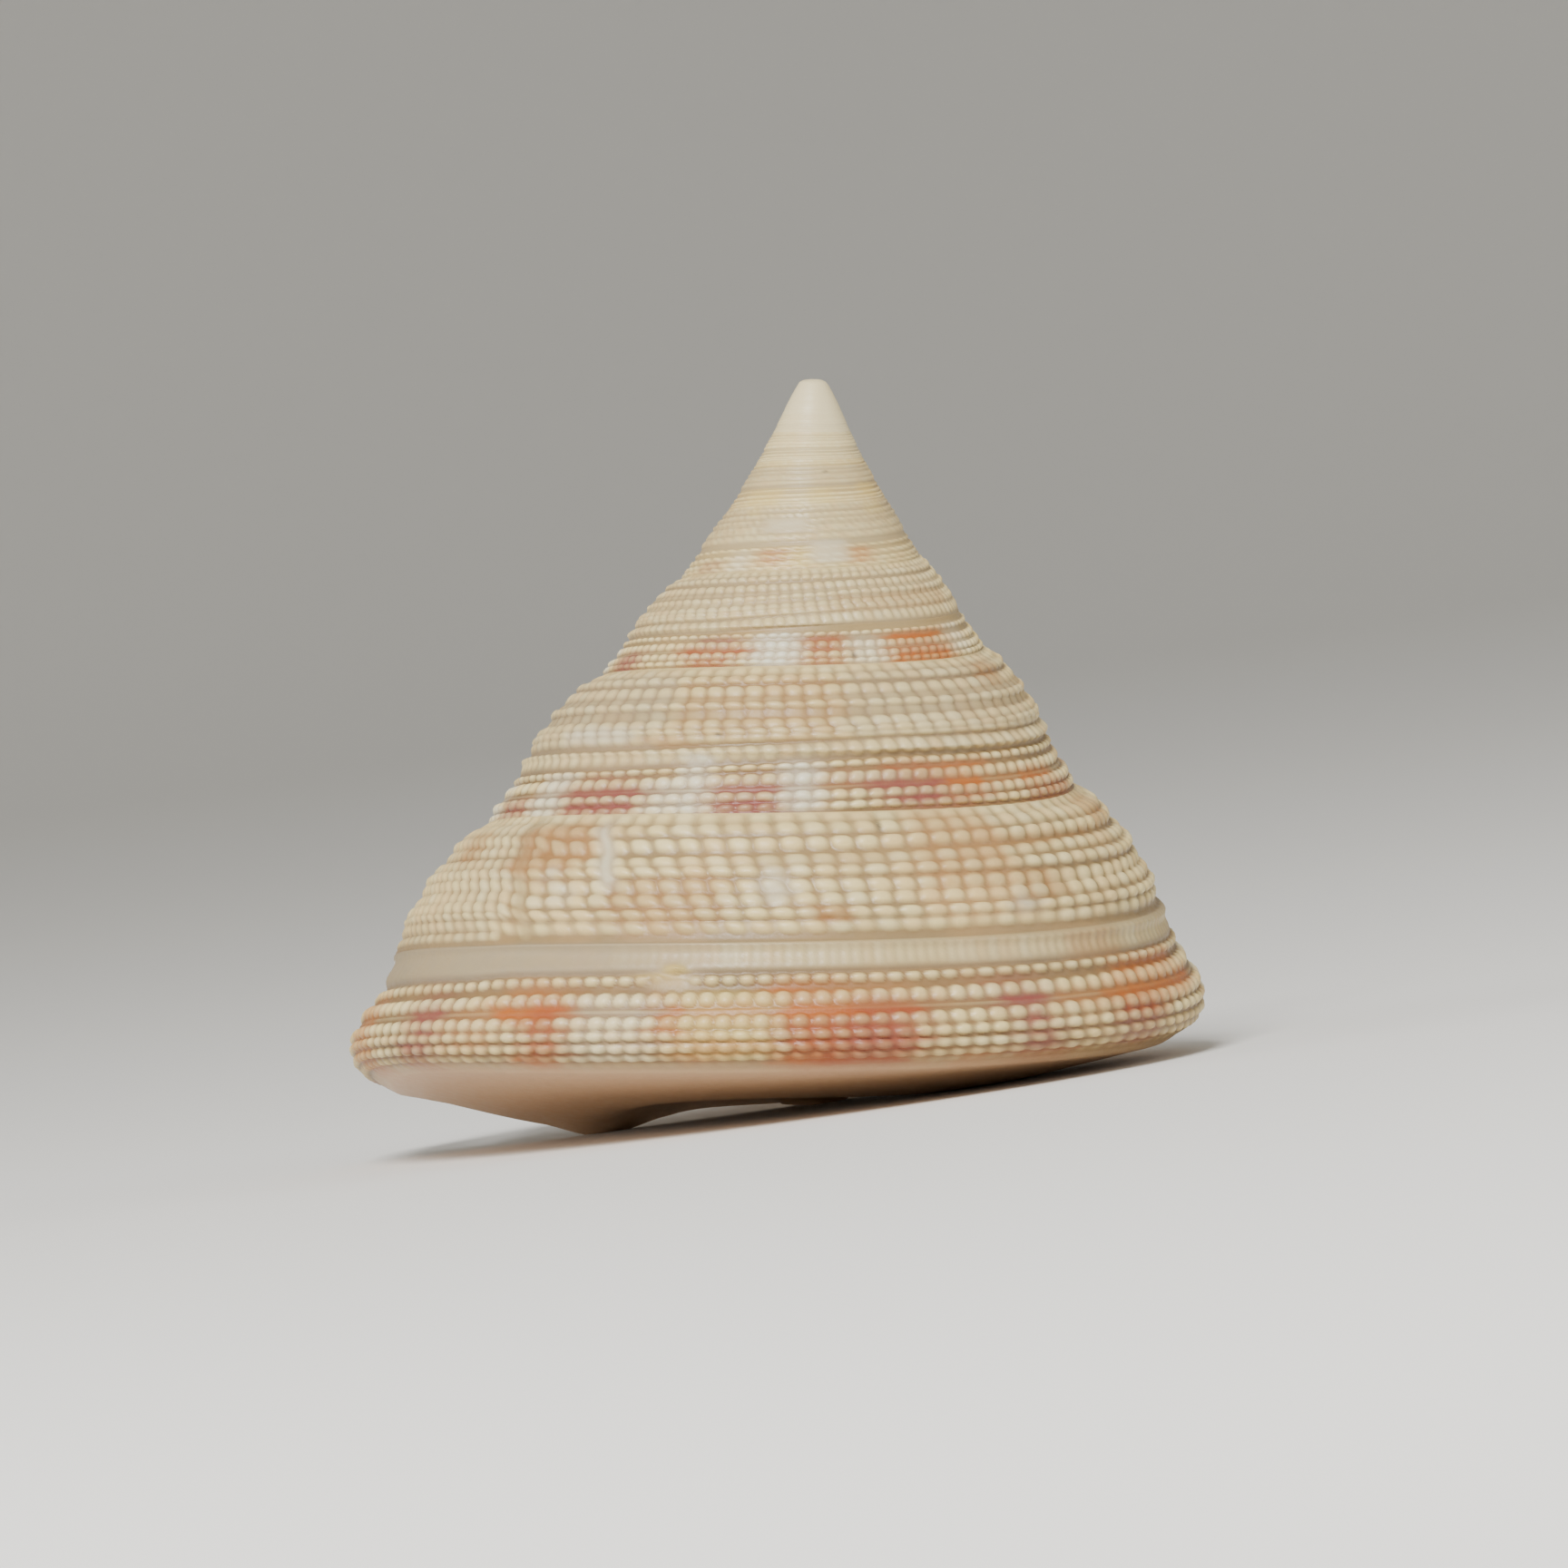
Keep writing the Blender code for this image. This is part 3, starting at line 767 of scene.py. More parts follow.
def beaded(start, girth):
    """The beaded outside: points at rest in metres, normals and masks, each as a grid."""
    starts = grow(start)
    girths = grow(girth)
    points, turn = outside(starts, girths)
    calm = calm_at(turn, girths[None, :])
    height, crest, tone = relief(turn, girths[None, :], calm)
    push = height * covered(starts, girths[None, :])
    points = points + grid_normals(points) * push[..., None]
    normals = grid_normals(points) @ ROLL_MATRIX.T
    masks = masks_at(turn, girths[None, :], crest)
    masks["tone"] = tone
    trim = (slice(1, -1), slice(1, -1))
    return settle_worn(points[trim]), normals[trim], {kind: mask[trim] for kind, mask in masks.items()}


def grid_faces(columns, rows):
    """Corner numbers of the grid's quads, facing outwards."""
    number = np.arange(columns * rows).reshape(columns, rows)
    corners = (number[:-1, :-1], number[:-1, 1:], number[1:, 1:], number[1:, :-1])
    return np.stack(corners, axis=-1)


def make_mesh(name, points, faces, normals=None, masks=None):
    """One mesh object from points, quads or triangles, and optional normals and masks."""
    data = bpy.data.meshes.new(name)
    points = points.reshape(-1, 3)
    faces = [part.reshape(-1, part.shape[-1]) for part in faces]
    totals = np.concatenate([np.full(len(part), part.shape[1]) for part in faces])
    corners = np.concatenate([part.ravel() for part in faces])
    data.vertices.add(len(points))
    data.vertices.foreach_set("co", points.ravel())
    data.loops.add(len(corners))
    data.loops.foreach_set("vertex_index", corners)
    data.polygons.add(len(totals))
    data.polygons.foreach_set("loop_start", np.concatenate([[0], np.cumsum(totals)[:-1]]))
    data.update(calc_edges=True)
    data.shade_smooth()
    for kind, mask in (masks or {}).items():
        layer = data.attributes.new(kind, "FLOAT", "POINT")
        layer.data.foreach_set("value", np.ascontiguousarray(mask.ravel(), dtype=np.float32))
    if normals is not None:
        data.normals_split_custom_set_from_vertices(normals.reshape(-1, 3))
    made = bpy.data.objects.new(name, data)
    bpy.context.scene.collection.objects.link(made)
    print(name, "has", int((totals - 2).sum()), "triangles")
    return made


# %% [markdown]
# ## The whorls
# The last whorl has two parts, which meet in the groove above the slit band. The open slit could be
# cut by a boolean, which leaves ragged faces. Here two rows of the grid lie on its edges, and the
# faces between them are left out. Older whorls are pieces of their own with fewer growth lines,
# because their beads look smaller.

# %% The last whorl
SLIT_TOP = float(GIRTHS[8])
SLIT_BOTTOM = float(GIRTHS[10])
SLIT_END = LIP_START + 3 * COLUMN
BEADS_END = 1.40
LIP_LINES = 73
FRONT_END = 0.5
MEETING = 0.59
UPPER_GIRTHS = np.linspace(0.0, MEETING, 61)
LIP_STEPS = (LIP_START, SLIT_END, LIP_LINES)


def even_steps(*stretches):
    """Even steps over stretches, each given as its first and last value and its count."""
    return np.unique(np.concatenate([np.linspace(*stretch) for stretch in stretches]))


BESIDE_SLIT = ((MEETING, SLIT_TOP, 3), (SLIT_TOP, SLIT_BOTTOM, 15), (SLIT_BOTTOM, 1.0, 29))
LOWER_GIRTHS = even_steps(*BESIDE_SLIT, (1.0, BEADS_END, 41))
LAST_STARTS = even_steps(LIP_STEPS, (SLIT_END, FRONT_END, 440), (FRONT_END, BASE_START, 250))


def middle_of(values):
    """Halfway between each value and the next."""
    return (values[:-1] + values[1:]) / 2.0


def between(values, ends):
    """Whether the middle of each step lies between the two ends."""
    middle = middle_of(values)
    return (middle > ends[0]) & (middle < ends[1])


def open_slit(starts, places, ends, faces):
    """The faces that are left when those in the open slit are taken out."""
    along = middle_of(starts)[:, None] < SLIT_END
    return faces[~(along & between(places, ends)[None, :])]


def outside_piece(name, starts, girths):
    """A stretch of the beaded outside as a mesh object, and its points."""
    points, normals, masks = beaded(starts, girths)
    faces = open_slit(starts, girths, (SLIT_TOP, SLIT_BOTTOM), grid_faces(len(starts), len(girths)))
    return make_mesh(name, points, [faces], normals, masks), points


upper_band, upper_points = outside_piece("upper_band", LAST_STARTS, UPPER_GIRTHS)
lower_band, lower_points = outside_piece("lower_band", LAST_STARTS, LOWER_GIRTHS)

# %% Older whorls
BAND_GIRTHS = np.unique(np.concatenate([UPPER_GIRTHS, LOWER_GIRTHS[LOWER_GIRTHS <= 1.0 + 1e-9]]))
SECOND_END = BASE_START + 1.0
THIRD_END = BASE_START + 2.0
YOUNG_LINES = 64
second_whorl, _ = outside_piece("second_whorl", np.linspace(BASE_START, SECOND_END, 850), BAND_GIRTHS)
third_whorl, _ = outside_piece("third_whorl", np.linspace(SECOND_END, THIRD_END, 700), BAND_GIRTHS)

# %% [markdown]
# ## The apex
# The youngest whorls carry on up to a tiny opening, because a coil that shrinks by shares never
# comes to an end. A cap closes it: its rings shrink the opening's rim, the last suture and the first
# growth line, to a point at the tip.

# %% Young whorls and their cap
CAP_RINGS = ((0.80, 0.45), (0.55, 0.15), (0.28, 0.03))
CAP_MASKS = {"worn": 1.0, "crest": 0.6, "tone": 0.5}
FINE_TURNS = 5.0


def young_whorls():
    """The young whorls with their cap. Each ring of the cap is the rim, drawn in to a share of its
    width and to a share of its height below the tip."""
    coarse = np.linspace(THIRD_END, FIRST_START - FINE_TURNS, 560)
    fine = np.arange(FIRST_START - FINE_TURNS, FIRST_START + 1e-9, 1.0 / YOUNG_LINES)
    starts = np.concatenate([coarse, fine[1:]])
    girths = BAND_GIRTHS[::2] if len(BAND_GIRTHS) % 2 else np.append(BAND_GIRTHS[::2], 1.0)
    points, normals, masks = beaded(starts, girths)
    numbers = np.arange(len(starts) * len(girths)).reshape(len(starts), len(girths))
    around = YOUNG_LINES - round(SUTURE_LEAD * YOUNG_LINES)
    rim = np.concatenate([numbers[-1 - around:, 0], numbers[-1, 1:-1]])
    flat_points = points.reshape(-1, 3)
    apex = settle(np.zeros(3))
    axis = ROLL_MATRIX[:, 2]
    out = flat_points[rim] - apex
    cap = []
    for wide, tall in CAP_RINGS:
        lift = out * (tall - wide)
        cap.append(apex + out * wide + (lift @ axis)[:, None] * axis)
    extra = np.concatenate(cap + [apex[None, :]])
    all_points = np.concatenate([flat_points, extra])
    added = len(flat_points) + np.arange(len(extra) - 1).reshape(len(cap), -1)
    rings = np.concatenate([rim[None, :], added])
    turned = np.roll(rings, -1, axis=1)
    sides = np.stack([rings[:-1], turned[:-1], turned[1:], rings[1:]], axis=-1)
    tip = np.stack([rings[-1], turned[-1], np.full(len(rim), len(all_points) - 1)], axis=-1)
    for kind, mask in masks.items():
        masks[kind] = np.append(mask.ravel(), np.full(len(extra), CAP_MASKS.get(kind, 0.0)))
    outward = unit(extra - settle(np.array([0.0, 0.0, -1.6])))
    all_normals = np.concatenate([normals.reshape(-1, 3), outward])
    faces = [grid_faces(len(starts), len(girths)), sides, tip]
    return make_mesh("young_whorls", all_points, faces, all_normals, masks)


young = young_whorls()

# %% [markdown]
# ## The base
# Below the last beads the base is smooth. It runs down to the ring that the shell stands on and up
# to the foot of the pillar, which a small fan closes. It could be part of the band above, but as a
# piece of its own it needs far fewer girths.

# %% Base with its foot
BASE_GIRTHS = np.linspace(BEADS_END, GIRTHS[FOOT_ROW], 84)
FOOT_CENTRE = settle_worn(np.array([0.0, 0.0, -FOOT_DEPTH]))


def base_with_foot():
    """The base as one mesh: the grid, and a fan of triangles from its last row to the axis."""
    points, normals, masks = beaded(LAST_STARTS, BASE_GIRTHS)
    columns, rows = points.shape[:2]
    rim = np.arange(columns) * rows + rows - 1
    fan = np.stack([rim[:-1], np.full(columns - 1, columns * rows), rim[1:]], axis=-1)
    all_points = np.concatenate([points.reshape(-1, 3), FOOT_CENTRE[None, :]])
    all_normals = np.concatenate([normals.reshape(-1, 3), [[0.0, 0.0, -1.0]]])
    masks = {kind: np.append(mask.ravel(), mask[0, -1]) for kind, mask in masks.items()}
    faces = [grid_faces(columns, rows), fan]
    return make_mesh("base", all_points, faces, all_normals, masks), points


base, base_points = base_with_foot()

# %% [markdown]
# ## Inside of the tube
# The snail lines its tube with mother of pearl. A Solidify modifier would give a wall of even
# thickness, but the tube's roof is the base of the whorl before. So the inside is a loop of points
# for each growth line, which belong to the outer wall, the floor or the roof. The loop is counted
# like the outline's points, so that the lip and the slit's walls can join outside and inside.

# %% Lining
# Shares down and out between the edge above and this edge for the wall, and shares of the edge's
# radius out and below it for the floor and the roof
INSIDE_PARTS = {
    "wall": [
        (0.105, 0.03), (0.18, 0.12), (0.24, 0.22), (0.32, 0.33), (0.40, 0.41), (0.48, 0.485),
        (0.575, 0.56), (0.62, 0.595), (0.65, 0.61), (0.71, 0.665), (0.775, 0.715), (0.89, 0.83),
        (1.00, 0.872),
    ],
    "floor": [
        (0.945, 0.030), (0.905, 0.052), (0.83, 0.077), (0.71, 0.107), (0.58, 0.132),
        (0.45, 0.145), (0.32, 0.132), (0.20, 0.095), (0.125, 0.030), (0.105, -0.080),
    ],
    "roof": [
        (0.165, 0.43), (0.21, 0.30), (0.33, 0.235), (0.46, 0.215), (0.58, 0.199), (0.72, 0.174),
        (0.85, 0.145), (0.935, 0.118), (0.985, 0.086),
    ],
}
INSIDE = [(part, *pair) for part, pairs in INSIDE_PARTS.items() for pair in pairs]
CAVITY_TURNS = 37 * COLUMN
WALL_STEPS = 6


def inside_loops(start):
    """One loop of coarse inside points for each start. Wall points lie between the two edges by
    their shares, and floor and roof points lie under an edge by shares of its radius."""
    loops = []
    for number, (part, first, second) in enumerate(INSIDE):
        row = number if number <= FOOT_ROW else max(2 * FOOT_ROW + 2 - number, EDGE_ROW + 1)
        turn = start + OUTLINE[min(row, FOOT_ROW), 7]
        if part == "wall":
            upper_radius, upper_depth = edge_of(turn + 1.0)
            radius, depth = edge_of(turn)
            wide = blend(upper_radius, radius, second)
            loops.append(place(turn, wide, blend(upper_depth, depth, first)))
        else:
            own = turn + (1.0 if part == "roof" else 0.0)
            radius, depth = edge_of(own)
            shallow = 1.0 - SHALLOW_SHARE * bump(own, SHALLOW_TURN, SHALLOW_REACH)
            deep = depth + second * radius * shallow - base_rise(own, GIRTHS[min(row, FOOT_ROW)])
            loops.append(place(own, first * radius, deep))
    return np.stack(loops, axis=1)


def lining_points(start, loop):
    """The smooth inside: each coarse loop becomes a closed smooth curve."""
    loops = inside_loops(start)
    wrapped = np.concatenate([loops[:, -2:], loops, loops[:, :3]], axis=1)
    knots = np.arange(-2.0, len(INSIDE) + 3.0)
    values = wrapped.transpose(1, 0, 2).reshape(len(knots), -1)
    smooth = through(loop, knots, values).reshape(len(loop), len(start), 3)
    return settle(smooth.transpose(1, 0, 2))


def loop_of(girth):
    """Place on the loop of each girth: the number of the outline's point, with shares between."""
    return np.interp(girth, GIRTHS, np.arange(FOOT_ROW + 1.0))


FRONT_GIRTHS = np.concatenate([UPPER_GIRTHS, LOWER_GIRTHS[1:], BASE_GIRTHS[1:]])
BACK_GIRTHS = np.concatenate([LOWER_GIRTHS[LOWER_GIRTHS >= 1.0 - 1e-9], BASE_GIRTHS[1:]])[::-1]
FRONT_LOOP = loop_of(FRONT_GIRTHS)
BACK_LOOP = 2 * FOOT_ROW + 2 - loop_of(BACK_GIRTHS)
LOOP = np.concatenate([FRONT_LOOP, [FOOT_ROW + 1.0], BACK_LOOP])
SLIT_LOOPS = loop_of(np.array([SLIT_TOP, SLIT_BOTTOM]))
CAVITY_STARTS = even_steps(LIP_STEPS, (SLIT_END, LIP_START + CAVITY_TURNS, 110))


def lining_mesh():
    """The inside as one mesh with its far end closed, turned to face the hollow."""
    points = lining_points(CAVITY_STARTS, LOOP)
    columns, rows = points.shape[:2]
    faces = open_slit(CAVITY_STARTS, LOOP, SLIT_LOOPS, grid_faces(columns, rows)[..., ::-1])
    end = (columns - 1) * rows + np.arange(rows)
    fan = np.stack([end[:-1], end[1:], np.full(rows - 1, columns * rows)], axis=-1)
    middle = points[-1].mean(axis=0)
    all_points = np.concatenate([points.reshape(-1, 3), middle[None, :]])
    return make_mesh("lining", all_points, [faces, fan]), points


lining, inner_points = lining_mesh()

# %% [markdown]
# ## Lip and slit
# The lip joins the outside's first growth line to the lining's. A flat strip would look sawn off, so
# it swells forward a little, as fresh shell does. Under the shell it lies against the whorl before,
# so there it follows the base and runs into the roof. The slit's walls join the same two surfaces.

# %% Lip
LIP_SWELL = 0.22
LIP_EASE = 1.5


def lip_mesh():
    """The lip as a band of steps from the outer loop to the inner loop. The front part swells
    forward by a half sine, and the back part starts as the base's own surface."""
    first, second = np.concatenate([upper_points[:2], lower_points[:2, 1:], base_points[:2, 1:]], axis=1)
    under = np.concatenate([lower_points[-1, LOWER_GIRTHS >= 1.0 - 1e-9], base_points[-1, 1:]])[::-1]
    outer = np.concatenate([first, FOOT_CENTRE[None, :], under])
    inner = inner_points[0]
    forward = np.zeros(outer.shape)
    forward[:len(first)] = unit(first - second)
    ease = ramp(LOOP, 0.0, LIP_EASE) * ramp(LOOP, FOOT_ROW, FOOT_ROW - LIP_EASE)
    share = np.linspace(0.0, 1.0, WALL_STEPS + 1)[:, None, None]
    swell = LIP_SWELL * MM * np.sin(math.pi * share) * ease[:, None]
    points = blend(outer, inner, share) + forward * swell
    starts = BASE_START + np.linspace(0.0, SUTURE_LEAD, WALL_STEPS + 1)
    wall = settle_worn(outside(starts, BACK_GIRTHS)[0])
    wall = wall + (under - wall[0]) * (1.0 - share) + (inner[-len(under):] - wall[-1]) * share ** 2
    weight = ramp(BACK_LOOP, 2 * FOOT_ROW + 2 - EDGE_ROW, 2 * FOOT_ROW + 1 - EDGE_ROW)
    weight = weight * ramp(BACK_LOOP, FOOT_ROW + 2, FOOT_ROW + 3)
    points[:, -len(under):] = blend(points[:, -len(under):], wall, weight[:, None])
    faces = grid_faces(len(share), len(LOOP))
    return make_mesh("lip", points, [faces[:, ~between(LOOP, SLIT_LOOPS)]])


lip = lip_mesh()


# %% Slit walls
def slit_wall(name, outer, inner, flipped=False):
    """One wall of the slit: straight steps from the outside's edge to the lining's."""
    share = np.linspace(0.0, 1.0, WALL_STEPS + 1)[:, None, None]
    faces = grid_faces(WALL_STEPS + 1, len(outer))
    return make_mesh(name, blend(outer, inner, share), [faces[..., ::-1] if flipped else faces])


def nearest(values, wanted):
    """Number of the value that is nearest to each wanted one."""
    return [int(np.argmin(np.abs(values - value))) for value in wanted]


top_row, bottom_row = nearest(LOWER_GIRTHS, (SLIT_TOP, SLIT_BOTTOM))
top_loop, bottom_loop = nearest(LOOP, SLIT_LOOPS)
slit_outer = lower_points[:LIP_LINES]
slit_inner = inner_points[:LIP_LINES]
slit_walls = [
    slit_wall("slit_top", slit_outer[:, top_row], slit_inner[:, top_loop]),
    slit_wall("slit_bottom", slit_outer[:, bottom_row], slit_inner[:, bottom_loop], flipped=True),
    slit_wall("slit_end", slit_outer[-1, top_row:bottom_row + 1], slit_inner[-1, top_loop:bottom_loop + 1]),
]

# %% [markdown]
# ## Materials
# The outside is calcite, the mineral of chalk. It is dry and satin, pale on the crests, which are rubbed, and
# brown in the grooves, partly from dirt and colour that stay there and partly as painted shade in the
# recesses. The underside is washed a darker buff, partly its own colour and partly painted shade where it
# faces down. The inside is mother of pearl.
#
# Each tint is laid over the last one like a thin wash. Its strength is the mesh's own mask of that
# kind, broken up by noise in the object's own space, so that it stays in place from every side.
# Sizes in the patterns are real millimetres.

# %% Colours and nodes
def linear(colour):
    """An sRGB hex colour as linear red, green and blue, with full alpha."""
    parts = [int(colour[start:start + 2], 16) / 255.0 for start in (1, 3, 5)]
    return [((part + 0.055) / 1.055) ** 2.4 if part > 0.04045 else part / 12.92 for part in parts] + [1.0]


def add(tree, kind, settings=None):
    """Adds a shader node. A setting is an input's name or number, or a property's name, with its
    value, or with the socket that is linked to that input."""
    node = tree.nodes.new("ShaderNode" + kind)
    for name, value in (settings or {}).items():
        if isinstance(value, bpy.types.NodeSocket):
            tree.links.new(value, node.inputs[name])
        elif isinstance(name, int) or name in node.inputs:
            node.inputs[name].default_value = value
        else:
            setattr(node, name, value)
    return node


def start_material(name):
    """A material with an empty tree, its shader and its object coordinates."""
    material = bpy.data.materials.new(name)
    material.use_nodes = True
    tree = material.node_tree
    tree.nodes.clear()
    shader = add(tree, "BsdfPrincipled")
    add(tree, "OutputMaterial", {"Surface": shader.outputs[0]})
    return material, tree, shader, add(tree, "TexCoord").outputs["Object"]


def per_mm(size):
    """Noise scale that gives patches of this size in millimetres."""
    return 1.0 / (size * MM)


def wash(tree, below, colour, *factors):
    """Lays a colour over what is below it. Its strength is the product of the factors, which are
    sockets or numbers."""
    strength = factors[0]
    for factor in factors[1:]:
        strength = add(tree, "Math", {"operation": "MULTIPLY", 0: strength, 1: factor}).outputs[0]
    return add(tree, "Mix", {"data_type": "RGBA", 0: strength, 6: below, 7: linear(colour)}).outputs[2]


def noise_between(tree, where, size, low, high, detail=3.0):
    """Noise of a size in millimetres, stretched to run from low to high."""
    noise = add(tree, "TexNoise", {"Scale": per_mm(size), "Detail": detail, "Vector": where})
    ends = {"From Min": 0.3, "From Max": 0.7, "To Min": low, "To Max": high}
    return add(tree, "MapRange", {**ends, "Value": noise.outputs["Fac"]}).outputs[0]


# %% Calcite of the outside
CREAM = "#E3CE90"
# Groove brown: partly stain, partly painted shade in the recesses
GROOVE_BROWN_AND_SHADE = "#7C6340"
WARM_BEAD = "#D29A6C"
PALE_BEAD = "#E6DDB4"
HONEY = "#D6A260"
# Underside buff: partly the base's own colour, partly painted shade where it faces down
BASE_BUFF_AND_SHADE = "#CFA784"
WORN_CREAM = "#DED0A6"
TINTS = {
    "slate": ("#988A74", 0.75),
    "peach": ("#D69C5C", 0.55),
    "tan": ("#96602A", 0.85),
    "straw": ("#D6B95E", 0.60),
    "chalk": ("#DCDBC8", 0.85),
    "orange": ("#AC5A14", 1.00),
    "brick": ("#98431C", 1.00),
    "rose": ("#87403A", 1.00),
    "speck": ("#4E4536", 0.90),
}


def calcite():
    """Sea snail calcite, grown in layers and dried: satin and cream, with brown grooves that are partly stain
    and partly painted shade, beads of slightly different tones, washes of the marks' tints, an underside
    washed a darker buff that is partly painted shade, and a fine grain."""
    material, tree, shader, where = start_material("calcite")
    mask = {}
    for kind in KINDS + ("crest", "stain_and_shade", "tone", "under", "worn"):
        mask[kind] = add(tree, "Attribute", {"attribute_name": kind}).outputs["Fac"]
    crest, tone = mask["crest"], mask["tone"]
    clear = add(tree, "MapRange", {"From Min": 0.08, "From Max": 0.80, "Value": crest}).outputs[0]
    deep = add(tree, "Math", {"operation": "SUBTRACT", 0: 1.0, 1: clear}).outputs[0]
    warm = add(tree, "MapRange", {"From Min": 0.5, "To Max": 0.25, "Value": tone}).outputs[0]
    fading = {"From Min": 0.5, "From Max": 0.0, "To Max": 0.35, "Value": tone}
    pale = add(tree, "MapRange", fading).outputs[0]
    rubbed = add(tree, "MapRange", {"To Min": 1.0, "To Max": 0.80, "Value": crest}).outputs[0]
    dusty = add(tree, "MapRange", {"To Min": 0.35, "Value": clear}).outputs[0]
    # Grooves washed brown: partly dirt and colour, partly painted shade in the recesses
    colour = wash(tree, linear(CREAM), GROOVE_BROWN_AND_SHADE, deep, mask["stain_and_shade"])
    colour = wash(tree, colour, WARM_BEAD, warm, clear)
    colour = wash(tree, colour, PALE_BEAD, pale, clear)
    colour = wash(tree, colour, HONEY, noise_between(tree, where, 4.0, 0.0, 0.18))
    patchy = noise_between(tree, where, 0.9, 0.80, 1.0)
    for kind, (shade, strength) in TINTS.items():
        factors = [mask[kind], patchy, strength]
        if kind in FLAMES + ("tan",):
            factors.append(rubbed)
        if kind == "chalk":
            factors.append(dusty)
        colour = wash(tree, colour, shade, *factors)
    # The underside darkened to buff: partly its own colour, partly painted shade where it faces down
    colour = wash(tree, colour, BASE_BUFF_AND_SHADE, mask["under"], noise_between(tree, where, 0.35, 0.75, 1.0, 5.0))
    colour = wash(tree, colour, WORN_CREAM, mask["worn"], 0.8)
    fine = add(tree, "TexNoise", {"Scale": per_mm(0.18), "Detail": 4.0, "Vector": where}).outputs["Fac"]
    grain = add(tree, "Bump", {"Strength": 0.25, "Distance": 0.05 * MM, "Height": fine}).outputs[0]
    tree.links.new(colour, shader.inputs["Base Color"])
    tree.links.new(noise_between(tree, where, 0.5, 0.36, 0.52), shader.inputs["Roughness"])
    tree.links.new(grain, shader.inputs["Normal"])
    return material


# %% Mother of pearl of the inside
def nacre():
    """Mother of pearl, laid down in thin layers: smooth and pale, with soft pink and green."""
    material, tree, shader, where = start_material("nacre")
    colour = wash(tree, linear("#E9E2DA"), "#E6C7C4", noise_between(tree, where, 5.0, 0.0, 0.7))
    colour = wash(tree, colour, "#C9DCCB", noise_between(tree, where, 3.2, 0.0, 0.5))
    tree.links.new(colour, shader.inputs["Base Color"])
    shader.inputs["Roughness"].default_value = 0.22
    shader.inputs["Coat Weight"].default_value = 0.4
    shader.inputs["Coat Roughness"].default_value = 0.1
    return material


outside_pieces = [upper_band, lower_band, second_whorl, third_whorl, young, base]
inside_pieces = [lining, lip] + slit_walls
for pieces, finish in ((outside_pieces, calcite()), (inside_pieces, nacre())):
    for piece in pieces:
        piece.data.materials.append(finish)
        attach(piece, "root")
        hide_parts("shell")
    print(finish.name, "is on", len(pieces), "pieces")

# %% [markdown]
# ## Studio
# A large soft light above the camera and two weak ones at the sides give soft shadows in the grooves.
# The camera leans with the shell, because the photograph shows its axis upright. It looks straight at
# the front from a metre, a touch from above. A flat floor with a wall would show a tilted horizon, so
# the floor is a round dish that curves up on all sides.

# %% Camera
PHOTO_SIZE = 1728.0
PHOTO_SCALE = 0.0532
APEX_PIXEL = (897.0, 418.0)
CAMERA_DISTANCE = 1000.0
CAMERA_RISE = math.radians(1.3)
SENSOR = 36.0


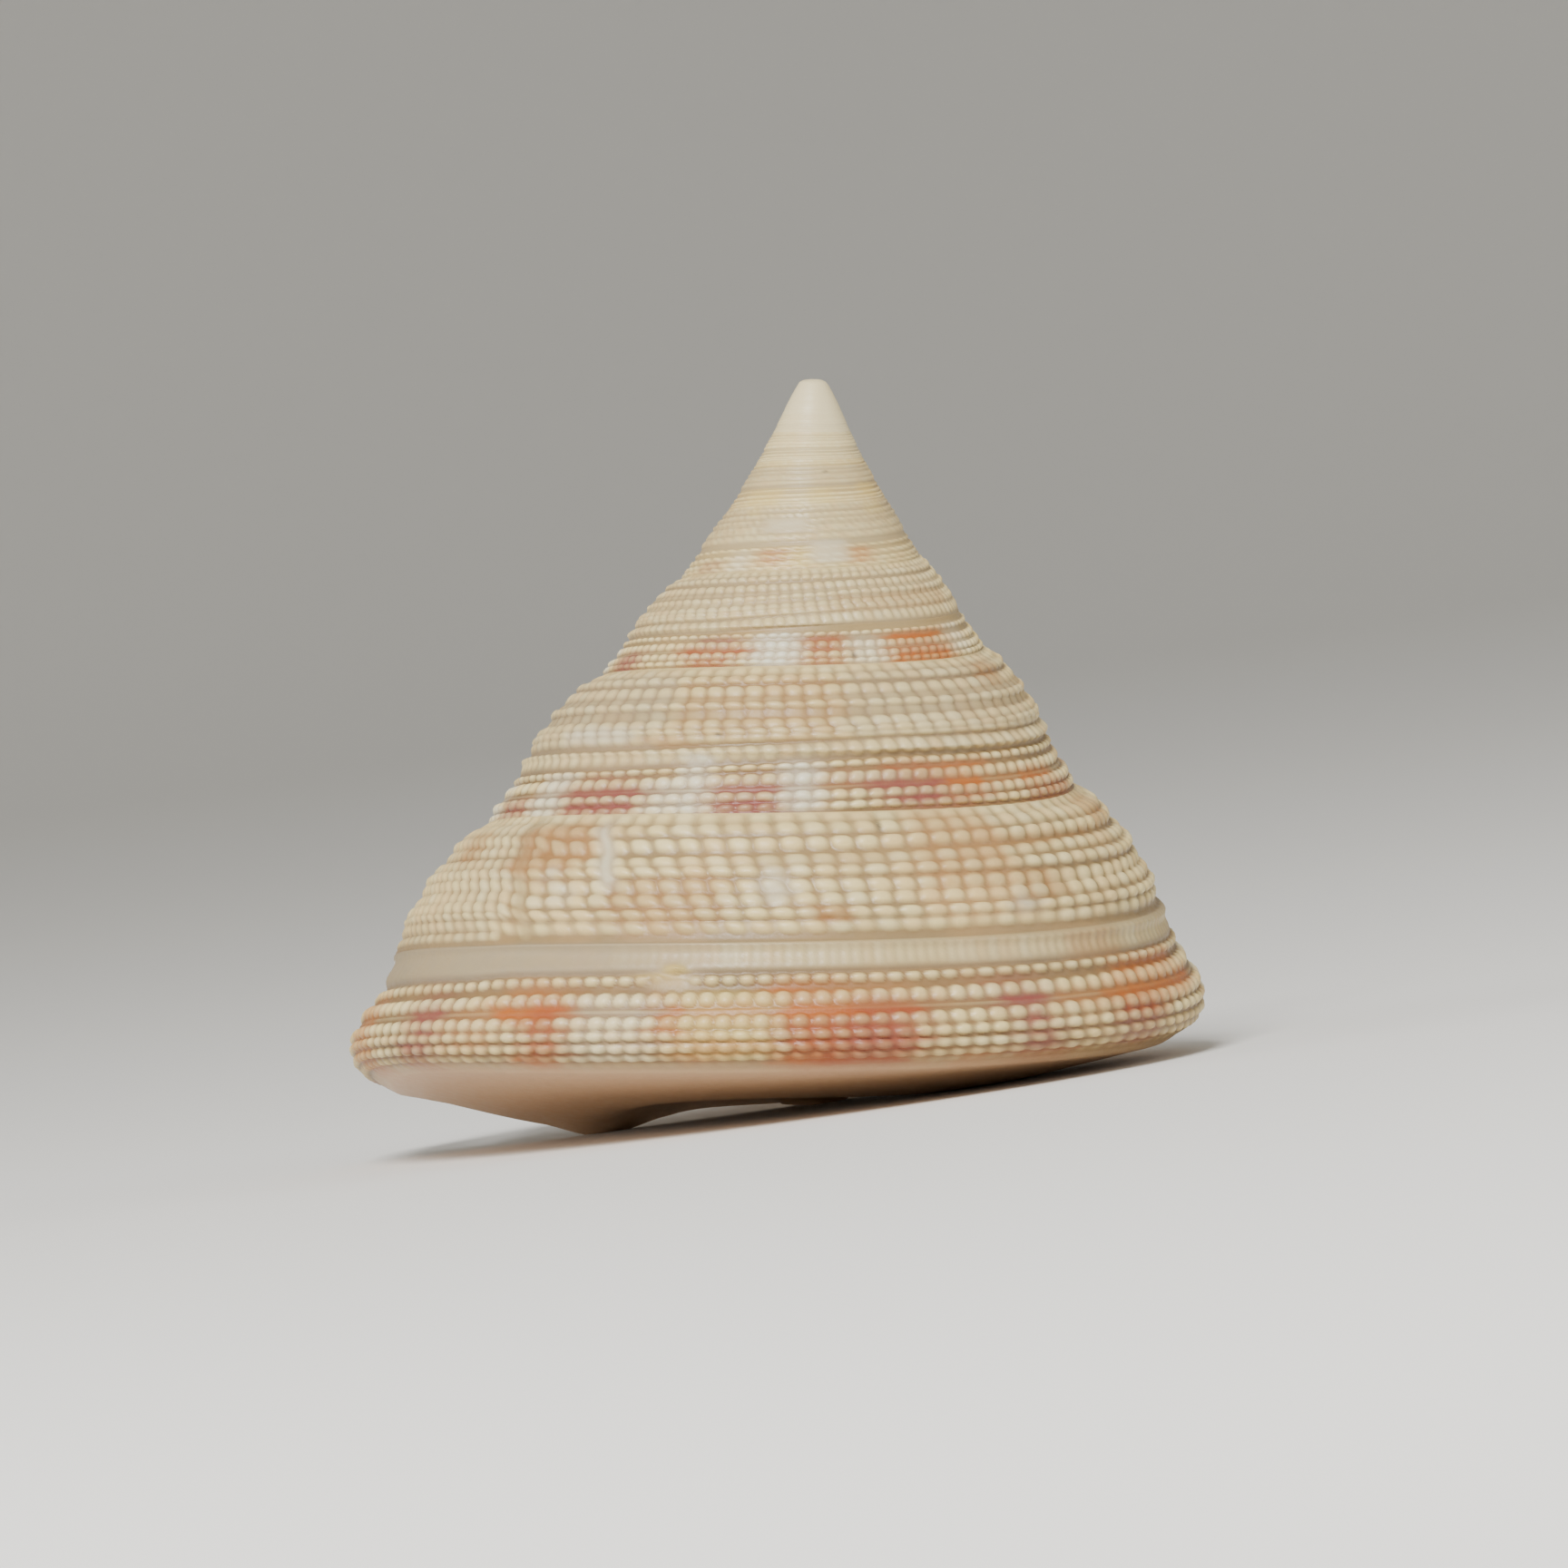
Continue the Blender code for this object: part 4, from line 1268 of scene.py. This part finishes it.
def aim_camera():
    """The camera at the photograph's place: half the frame away from the apex's pixel, and tilted
    with the shell."""
    data = bpy.data.cameras.new("camera")
    camera = bpy.data.objects.new("camera", data)
    bpy.context.scene.collection.objects.link(camera)
    right = (PHOTO_SIZE / 2.0 - APEX_PIXEL[0]) * PHOTO_SCALE
    below = (PHOTO_SIZE / 2.0 - APEX_PIXEL[1]) * PHOTO_SCALE
    cosine = math.cos(CAMERA_RISE)
    sine = math.sin(CAMERA_RISE)
    side, upward, back = (np.array([(1.0, 0.0, 0.0), (0.0, sine, cosine), (0.0, -cosine, sine)])
                          @ ROLL_MATRIX.T)
    spot = settle(np.array([right, 0.0, -below / cosine])) + back * CAMERA_DISTANCE * MM
    turned = np.eye(4)
    turned[:3] = np.stack([side, upward, back, spot], axis=1)
    camera.matrix_world = Matrix(turned.tolist())
    data.sensor_width = SENSOR
    data.lens = SENSOR * CAMERA_DISTANCE / (PHOTO_SIZE * PHOTO_SCALE)
    data.clip_start = 0.01
    return camera


bpy.context.scene.camera = aim_camera()

# %% Lights
SHELL_MIDDLE = Vector((0.0, 0.0, 0.02))
LIGHTS = {
    # place and size in metres, watts
    "key": ((-0.15, -0.55, 0.55), 0.32, 9.2),
    "left": ((-0.60, -0.10, 0.25), 0.40, 1.0),
    "right": ((0.60, -0.15, 0.25), 0.40, 0.8),
}
for name, (spot, size, power) in LIGHTS.items():
    data = bpy.data.lights.new(name, "AREA")
    data.size = size
    data.energy = power
    light = bpy.data.objects.new(name, data)
    light.location = spot
    light.rotation_euler = (SHELL_MIDDLE - Vector(spot)).to_track_quat("-Z", "Y").to_euler()
    bpy.context.scene.collection.objects.link(light)

world = bpy.data.worlds.new("studio")
bpy.context.scene.world = world
world.use_nodes = True
background = world.node_tree.nodes["Background"]
background.inputs["Color"].default_value = linear("#F2F2F0")
background.inputs["Strength"].default_value = 0.60
print(len(LIGHTS), "lights")

# %% Paper floor
FLOOR_RADIUS = 1.3
FLOOR_CURVE = 1.2
WALL_TOP = 2.6


def floor_mesh():
    """The floor as a round dish: a flat disc, a quarter circle up and an upright wall, turned round
    the middle. It looks the same from every side, and no edge shows behind the shell."""
    rise = np.linspace(0.0, math.pi / 2.0, 17)
    curve = FLOOR_RADIUS + FLOOR_CURVE * np.sin(rise)
    radius = np.concatenate([[0.0, 0.4], curve, [FLOOR_RADIUS + FLOOR_CURVE]])
    height = np.concatenate([[0.0, 0.0], FLOOR_CURVE * (1.0 - np.cos(rise)), [WALL_TOP]])
    angle = np.linspace(0.0, 2.0 * math.pi, 97)[:, None]
    rounds = np.broadcast_arrays(np.cos(angle) * radius, np.sin(angle) * radius, height)
    faces = grid_faces(len(angle), len(radius))[..., ::-1]
    return make_mesh("floor", np.stack(rounds, axis=-1), [faces])


floor = floor_mesh()
paper, _, paper_shader, _ = start_material("paper")
paper_shader.inputs["Base Color"].default_value = linear("#E4E2DD")
paper_shader.inputs["Roughness"].default_value = 0.9
floor.data.materials.append(paper)
